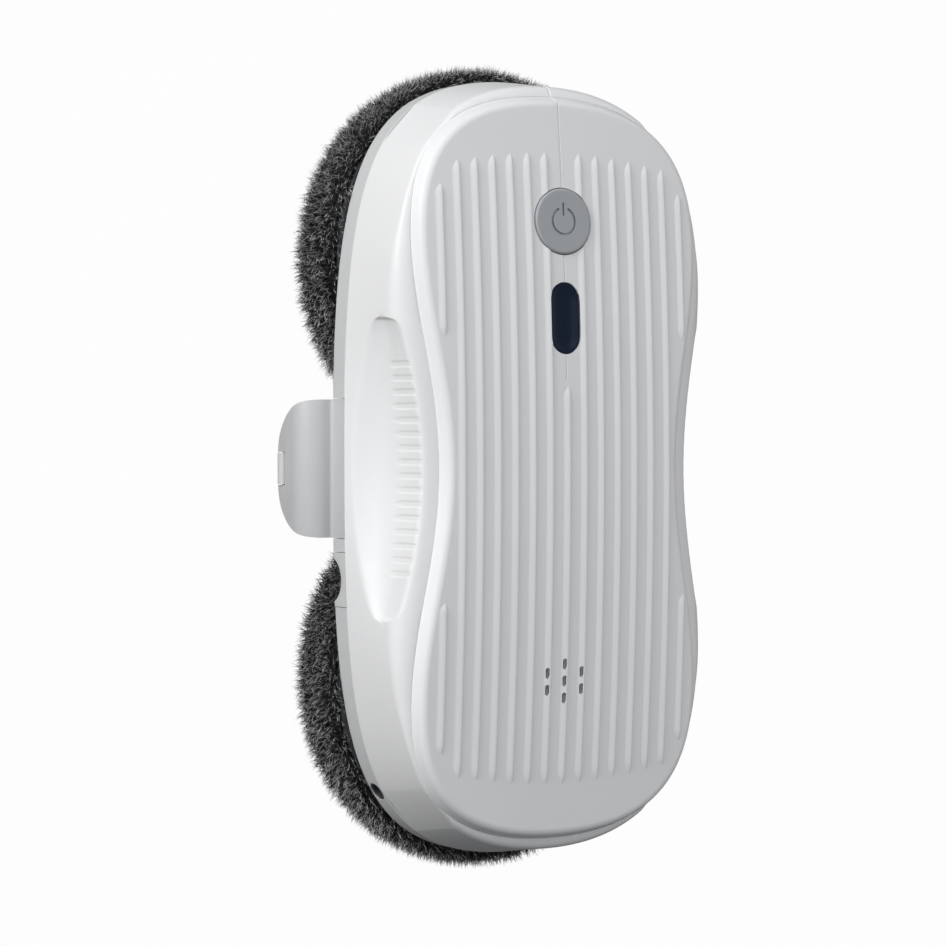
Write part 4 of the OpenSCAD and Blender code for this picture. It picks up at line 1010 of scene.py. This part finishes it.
def made_of(name, group, colour, roughness, bump, **extra):
    """Extra values go to the group's input of that name, or to the shader's."""
    mat, tree, shader = new_material(name)
    node = add_node(tree, "ShaderNodeGroup", node_tree=group)
    height = add_node(tree, "ShaderNodeBump", {
        "Strength": bump, "Distance": BUMP_HEIGHT, "Height": node.outputs["Height"]})
    put(tree, node.inputs["Colour"], (*colour, 1))
    put(tree, node.inputs["Roughness"], roughness)
    for key, value in {"IOR": PLASTIC_IOR, **extra}.items():
        put(tree, (node if key in node.inputs else shader).inputs[key], value)
    for key in ("Base Color", "Roughness"):
        put(tree, shader.inputs[key], node.outputs[key])
    put(tree, shader.inputs["Normal"], height.outputs["Normal"])
    return mat


# %% [markdown]
# ## Every material
# A row holds the slot's name, its group, colour, roughness and bump, and
# what else differs from the group's own values.

# %% Material table
PLASTIC, METAL = plastic_group(), metal_group()
PALETTE = [
    ("white_shell", PLASTIC, (0.83, 0.83, 0.83), 0.42, 0.06, {"IOR": 1.36}),
    ("grey_shell", PLASTIC, (0.6, 0.605, 0.605), 0.5, 0.1, {}),
    # Painted shade: the guards are moulded in the band's grey, and this darker copy of it
    # paints in the shade that falls on them under the housing.
    ("guard_grey", PLASTIC, (0.53, 0.535, 0.54), 0.5, 0.1, {}),
    ("lens_navy", PLASTIC, (0.004, 0.011, 0.03), 0.22, 0.02, {"IOR": 1.2}),
    ("clear_guide", PLASTIC, (0.78, 0.82, 0.86), 0.3, 0.05, {}),
    ("dark_plastic", PLASTIC, (0.035, 0.037, 0.042), 0.45, 0.12, {}),
    ("button_grey", PLASTIC, (0.37, 0.39, 0.405), 0.45, 0.08, {}),
    ("steel", METAL, (0.56, 0.57, 0.59), 0.3, 0.1, {"Metallic": 1.0}),
    ("board_green", PLASTIC, (0.01, 0.10, 0.035), 0.4, 0.15,
     {"Drift": 0.25, "Grain Scale": 900.0}),
    ("cell_wrap", PLASTIC, (0.02, 0.07, 0.17), 0.3, 0.05, {}),
    ("gear_white", PLASTIC, (0.70, 0.70, 0.67), 0.5, 0.08, {}),
    ("bronze", METAL, (0.42, 0.25, 0.09), 0.4, 0.2, {"Metallic": 1.0}),
    ("disc_plastic", PLASTIC, (0.075, 0.08, 0.087), 0.5, 0.12, {}),
    ("hook_fabric", PLASTIC, (0.013, 0.013, 0.014), 0.9, 1.0,
     {"Drift": 0.4, "Grain Scale": 1800.0}),
]
MATERIALS = {name: made_of(name, *row, **extra) for name, *row, extra in PALETTE}


def fur_material():
    """Near-black strands whose tips turn light grey, each a little different."""
    group, inp, out = node_group(
        "Fur strand", "ShaderNodeTree",
        [("Root Colour", "Color", (0.008, 0.008, 0.009, 1)),
         ("Tip Colour", "Color", (0.95, 0.95, 0.93, 1)), ("Tip Start", "Float", 0.5)],
        [("Base Color", "Color")])
    up, tone = (add_node(group, "ShaderNodeAttribute", attribute_name=name).outputs["Fac"]
                for name in ("strand_up", "strand_tone"))
    ramp = add_node(group, "ShaderNodeMapRange", {"Value": up, "From Min": inp["Tip Start"]},
                    interpolation_type="SMOOTHSTEP")
    share = math_node(group, "MULTIPLY", ramp.outputs["Result"],
                      math_node(group, "POWER", tone, 1.3))
    mix = add_node(group, "ShaderNodeMix", {
        "Factor": share, "A": inp["Root Colour"], "B": inp["Tip Colour"]}, data_type="RGBA")
    put(group, out.inputs["Base Color"], mix.outputs["Result"])
    mat, tree, shader = new_material("fur_fabric")
    node = add_node(tree, "ShaderNodeGroup", node_tree=group)
    put(tree, shader.inputs["Base Color"], node.outputs["Base Color"])
    put(tree, shader.inputs["Roughness"], 0.55)
    put(tree, shader.inputs["Specular IOR Level"], 0.35)
    return mat


MATERIALS["fur_fabric"] = fur_material()
print("materials:", len(MATERIALS))

# %% [markdown]
# ## The fur pads
# Each mop pad is a ring of backing with dense fur. The fur is what the
# photo shows round the housing: dark strands with light tips that lie
# outward. Geometry Nodes scatters one bent strand over the pad's rim, with
# a slow noise that combs the strands into tufts.

# %% Fur tree
def fur_tree():
    tree, inp, out = node_group(
        "Fur on a pad", "GeometryNodeTree",
        [("Geometry", "Geometry", None), ("Density", "Float", 2.1e6), ("Seed", "Int", 4),
         ("Length", "Float", 0.0054), ("Thickness", "Float", 0.0002),
         ("Bare Radius", "Float", 0.0585), ("Tuft", "Float", 0.4), ("Mess", "Float", 1.7),
         ("Axis", "Vector", (0, 0, 0)), ("Fur Material", "Material", None)],
        [("Geometry", "Geometry")])
    add, calc = partial(add_node, tree), partial(math_node, tree)

    def vector(operation, *values, scale=None):
        inputs = dict(enumerate(values))
        if scale is not None:
            inputs["Scale"] = scale
        node = add("ShaderNodeVectorMath", inputs, operation=operation)
        return node.outputs["Value" if operation == "LENGTH" else "Vector"]

    # Where strands grow: outside the bare inner part, and off the glass
    pos = add("GeometryNodeInputPosition").outputs[0]
    arm = vector("MULTIPLY", vector("SUBTRACT", pos, inp["Axis"]), (1, 1, 0))
    far = calc("GREATER_THAN", vector("LENGTH", arm), inp["Bare Radius"])
    high = calc("GREATER_THAN", add("ShaderNodeSeparateXYZ", {0: pos}).outputs["Z"], 0.0012)
    scatter = add("GeometryNodeDistributePointsOnFaces", {
        "Mesh": inp["Geometry"], "Selection": calc("MULTIPLY", far, high),
        "Density": inp["Density"], "Seed": inp["Seed"]})

    # Which way each strand leans
    noise = add("ShaderNodeTexNoise", {"Scale": 160.0, "Detail": 1.0, "Vector": pos})
    tuft = vector("SCALE", vector("SUBTRACT", noise.outputs["Color"], (0.5, 0.5, 0.5)),
                  scale=calc("MULTIPLY", inp["Tuft"], 3.0))
    wild = add("FunctionNodeRandomValue", {
        "Min": (-1, -1, -1), "Max": (1, 1, 1), "Seed": inp["Seed"]}, data_type="FLOAT_VECTOR")
    loose = vector("SCALE", wild.outputs["Value"], scale=inp["Mess"])
    out_dir = vector("SCALE", vector("NORMALIZE", arm), scale=0.75)
    lean = vector("ADD", vector("ADD", scatter.outputs["Normal"], out_dir),
                  vector("ADD", tuft, loose))
    turn = add("FunctionNodeAlignRotationToVector", {"Vector": lean}, axis="Z")
    spin = add("FunctionNodeRandomValue", {"Max": 6.2832})
    around = add("ShaderNodeCombineXYZ", {"Z": spin.outputs[1]})
    twist = add("FunctionNodeEulerToRotation", {0: around.outputs[0]})
    rolled = add("FunctionNodeRotateRotation", {
        "Rotation": turn.outputs[0], "Rotate By": twist.outputs[0]}, rotation_space="LOCAL")

    # One bent strand, thick at its root and fine at its tip
    bend = add("GeometryNodeCurveQuadraticBezier", {
        "Resolution": 3, "Start": (0, 0, 0), "Middle": (0, 0, 0.55), "End": (0.32, 0, 0.95)})
    share = add("GeometryNodeSplineParameter").outputs["Factor"]
    mark = add("GeometryNodeStoreNamedAttribute", {
        "Name": "strand_up", "Geometry": bend.outputs[0], "Value": share},
        data_type="FLOAT", domain="POINT")
    ring = add("GeometryNodeCurvePrimitiveCircle", {
        "Resolution": 3, "Radius": calc("DIVIDE", inp["Thickness"], inp["Length"])})
    sweep = add("GeometryNodeCurveToMesh", {
        "Curve": mark.outputs[0], "Profile Curve": ring.outputs[0],
        "Scale": calc("SUBTRACT", 1.0, calc("MULTIPLY", share, 0.82)), "Fill Caps": True})
    grow = add("FunctionNodeRandomValue", {"Min": 0.55, "Max": 1.15})
    plant = add("GeometryNodeInstanceOnPoints", {
        "Points": scatter.outputs["Points"], "Instance": sweep.outputs[0],
        "Rotation": rolled.outputs[0],
        "Scale": calc("MULTIPLY", grow.outputs[1], inp["Length"])})
    shade = add("FunctionNodeRandomValue", {"Min": 0.0})
    tone = add("GeometryNodeStoreNamedAttribute", {
        "Name": "strand_tone", "Geometry": plant.outputs[0], "Value": shade.outputs[1]},
        data_type="FLOAT", domain="INSTANCE")
    both = add("GeometryNodeJoinGeometry", {0: tone.outputs[0]})
    put(tree, both.inputs[0], inp["Geometry"])
    end_tree(tree, both.outputs[0], inp["Fur Material"], out)
    return tree


FUR = fur_tree()
print("fur tree nodes:", len(FUR.nodes))

# %% [markdown]
# ## The two pads
# The backing is a plain ring with a rounded rim, grown over by the fur tree.
# Strands that would pass the glass or the floor above are pressed flat.

# %% Fur pads
PAD_PROFILE = [(34, 0.2), (62, 0.2), (66, 1.6), (68.6, 5), (69.3, 11), (69.0, 17), (68.4, 22),
               (67.7, 24.4), (66.9, 24.8), (66.6, 24.2), (66.4, 22.4), (34, 22.4)]
GLASS_GAP, HOUSING_GAP = 0.15, 0.3


def inside_housing(x, y, grow):
    p = base_quarter(np.linspace(0, LAST_STEP, 2000))
    limit = np.interp(np.abs(y), p[:, 1], p[:, 0])
    return (np.abs(x) < limit + grow) & (np.abs(y) < HALF_LEN + grow)


def fur_pad(name, side):
    pad = ring_solid(name, PAD_PROFILE, 128, 0, side * UNIT_Y)
    pad = grown(pad, FUR, {"Seed": 4 + side, "Axis": (0.0, side * UNIT_Y * MM, 0.0),
                           "Fur Material": MATERIALS["fur_fabric"]})
    co = np.zeros(len(pad.data.vertices) * 3)
    pad.data.vertices.foreach_get("co", co)
    co = co.reshape(-1, 3) / MM
    co[:, 2] = np.maximum(co[:, 2], GLASS_GAP)
    under = inside_housing(co[:, 0], co[:, 1], HOUSING_GAP)
    co[under, 2] = np.minimum(co[under, 2], BAND_Z - HOUSING_GAP)
    pad.data.vertices.foreach_set("co", (co * MM).ravel())
    pad.data.update()
    return pad


pads = {1: fur_pad("fur_pad_upper", 1), -1: fur_pad("fur_pad_lower", -1)}
print("fur faces per pad:", [len(p.data.polygons) for p in pads.values()])

# %% [markdown]
# ## Putting the pieces on the frame
# Each finished piece rides the body it belongs to and stands for the CAD
# nodes it replaces. Every CAD node that still shows gets its material.

# %% Pieces on the frame
for moulding in (cover, band, sleeve, *bosses):
    softened(moulding, 30)
softened(cord_insert, 30, 0.3, 3)
lower = softened(joined("shell_lower", [band, *bosses]), 30)

PIECES = [
    (shell_upper, "housing", "white_shell", ["upper_shell"]),
    (cover, "housing", "white_shell", ["top_cover"]),
    (ribs, "housing", "white_shell", []),
    (lower, "housing", "grey_shell", ["lower_shell"]),
    (cord_insert, "housing", "grey_shell", ["cord_guide"]),
    (sleeve, "housing", "dark_plastic", ["dc_inlet"]),
    (guard_right, "housing", "grey_shell", ["side_guard_right"]),
    (guard_left, "housing", "grey_shell", ["side_guard_left"]),
    (button, "button", "button_grey", ["power_button"]),
    (window, "housing", "lens_navy", ["indicator_lens"]),
    (pads[1], "mop_unit_upper", "fur_fabric", ["mop_pad_upper"]),
    (pads[-1], "mop_unit_lower", "fur_fabric", ["mop_pad_lower"]),
]
for obj, body, slot_name, nodes in PIECES:
    obj.data.materials.clear()
    # The guards take the darker copy of the band's grey, which paints in the shade under the
    # housing.
    obj.data.materials.append(MATERIALS["guard_grey" if obj.name[:5] == "guard" else slot_name])
    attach(obj, body)
    if nodes:
        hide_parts(*nodes)
for row in frame["record"]["subparts"]:
    node = frame["nodes"][row["node"]]
    node.data.materials.clear()
    node.data.materials.append(MATERIALS[row["material_slot"]])
for node in ("guard_roller_left", "guard_roller_right"):
    frame["nodes"][node].data.materials[0] = MATERIALS["grey_shell"]

# %% [markdown]
# ## Camera
# The camera was solved from the photo: it looks down on the cover, turned
# about 32 degrees toward the left side, from a little over a metre away.

# %% Camera
TURN, PITCH, ROLL = (math.radians(v) for v in (32.0, 0.71, -0.06))
DISTANCE, AIM_X, AIM_Y, AIM_Z = 1149.66, 34.19, 1.66, 77.18
FOCAL_PX, PHOTO_PX, SENSOR = 3170, 946, 36

right = Vector((math.cos(TURN), 0, math.sin(TURN)))
back = Vector((-math.sin(TURN), 0, math.cos(TURN)))
up = Vector((0, 1, 0))
back, up = (back * math.cos(PITCH) + up * math.sin(PITCH),
            up * math.cos(PITCH) - back * math.sin(PITCH))
right, up = (right * math.cos(ROLL) + up * math.sin(ROLL),
             up * math.cos(ROLL) - right * math.sin(ROLL))
where = (right * (AIM_Z * right.z - AIM_X) + up * (AIM_Z * up.z - AIM_Y)
         + back * (AIM_Z * back.z + DISTANCE)) * MM
camera_data = bpy.data.cameras.new("camera")
camera_data.sensor_width = SENSOR
camera_data.lens = FOCAL_PX / PHOTO_PX * SENSOR
camera_data.clip_start, camera_data.clip_end = 0.05, 20
camera = placed("camera", camera_data)
camera.matrix_world = (Matrix.Translation(where)
                       @ Matrix((right, up, back)).transposed().to_4x4())
bpy.context.scene.camera = camera
print("camera at", [round(v, 3) for v in where])

# %% [markdown]
# ## Light and room
# A soft key stands low on the left and a weaker, larger fill above, with an
# even light from the world that is dimmer behind the robot's lower end.

# %% Light and room
ROOM_SIDE, ROOM_FROM, ROOM_TO = (-0.25, 0.9, 0.35), (-0.42, 0.28), (0.0, 0.58)


def area_lamp(name, direction, distance, size, power):
    data = bpy.data.lights.new(name, "AREA")
    data.shape, data.size, data.energy = "DISK", size, power
    d = Vector(direction).normalized()
    placed(name, data).matrix_world = (Matrix.Translation(d * distance)
                                       @ d.to_track_quat("Z", "Y").to_matrix().to_4x4())


def seen_by(tree, *kinds):
    """One for a ray of any of these kinds, else zero."""
    path = add_node(tree, "ShaderNodeLightPath").outputs
    share = path[kinds[0]]
    for kind in kinds[1:]:
        share = math_node(tree, "MAXIMUM", share, path[kind])
    return share


area_lamp("key", (-0.85, 0.42, 0.15), 1.6, 0.8, 19.2)
area_lamp("fill", (0.0, 0.4, 0.92), 1.8, 1.2, 5.0)

world = bpy.data.worlds.new("world")
bpy.context.scene.world = world
world.use_nodes = True
tree = world.node_tree
tree.nodes.clear()
toward = add_node(tree, "ShaderNodeVectorMath", {
    0: add_node(tree, "ShaderNodeTexCoord").outputs["Generated"],
    1: Vector(ROOM_SIDE).normalized()}, operation="DOT_PRODUCT")
room = add_node(tree, "ShaderNodeMapRange", {
    "Value": toward.outputs["Value"], "From Min": ROOM_FROM[0], "From Max": ROOM_FROM[1],
    "To Min": ROOM_TO[0], "To Max": ROOM_TO[1]}, interpolation_type="SMOOTHSTEP")
soft = add_node(tree, "ShaderNodeBackground", {
    "Color": (0.95, 0.97, 1.0, 1), "Strength": room.outputs["Result"]})
white = add_node(tree, "ShaderNodeBackground", {"Strength": 1.0})
pick = add_node(tree, "ShaderNodeMixShader", {
    "Fac": seen_by(tree, "Is Camera Ray", "Is Transmission Ray", "Is Glossy Ray"),
    1: soft.outputs[0], 2: white.outputs[0]})
add_node(tree, "ShaderNodeOutputWorld", {"Surface": pick.outputs[0]})
print("lamps:", len(bpy.data.lights))

# %% [markdown]
# ## Floor
# The floor is pale. To the camera it glows white, and it shows only where
# the robot darkens it.

# %% Floor
FLOOR_HALF, FLOOR_Z = 4000, -0.02
floor = make_object("floor", [(x * FLOOR_HALF, y * FLOOR_HALF, FLOOR_Z) for x, y in (
    (-1, -1), (1, -1), (1, 1), (-1, 1))], [(0, 1, 2, 3)], False)
ground, tree, shader = new_material("ground")
put(tree, shader.inputs["Base Color"], (0.14, 0.14, 0.14, 1))
put(tree, shader.inputs["Roughness"], 0.8)
glow = add_node(tree, "ShaderNodeEmission", {"Strength": 1.03})
share = math_node(tree, "MULTIPLY", seen_by(tree, "Is Camera Ray", "Is Transmission Ray"), 0.95)
pick = add_node(tree, "ShaderNodeMixShader", {
    "Fac": share, 1: shader.outputs[0], 2: glow.outputs[0]})
put(tree, tree.nodes["Material Output"].inputs["Surface"], pick.outputs[0])
floor.data.materials.append(ground)
bpy.context.scene.view_settings.view_transform = "Standard"
print("floor ready")

# %% End of the scene
print("scene ready")
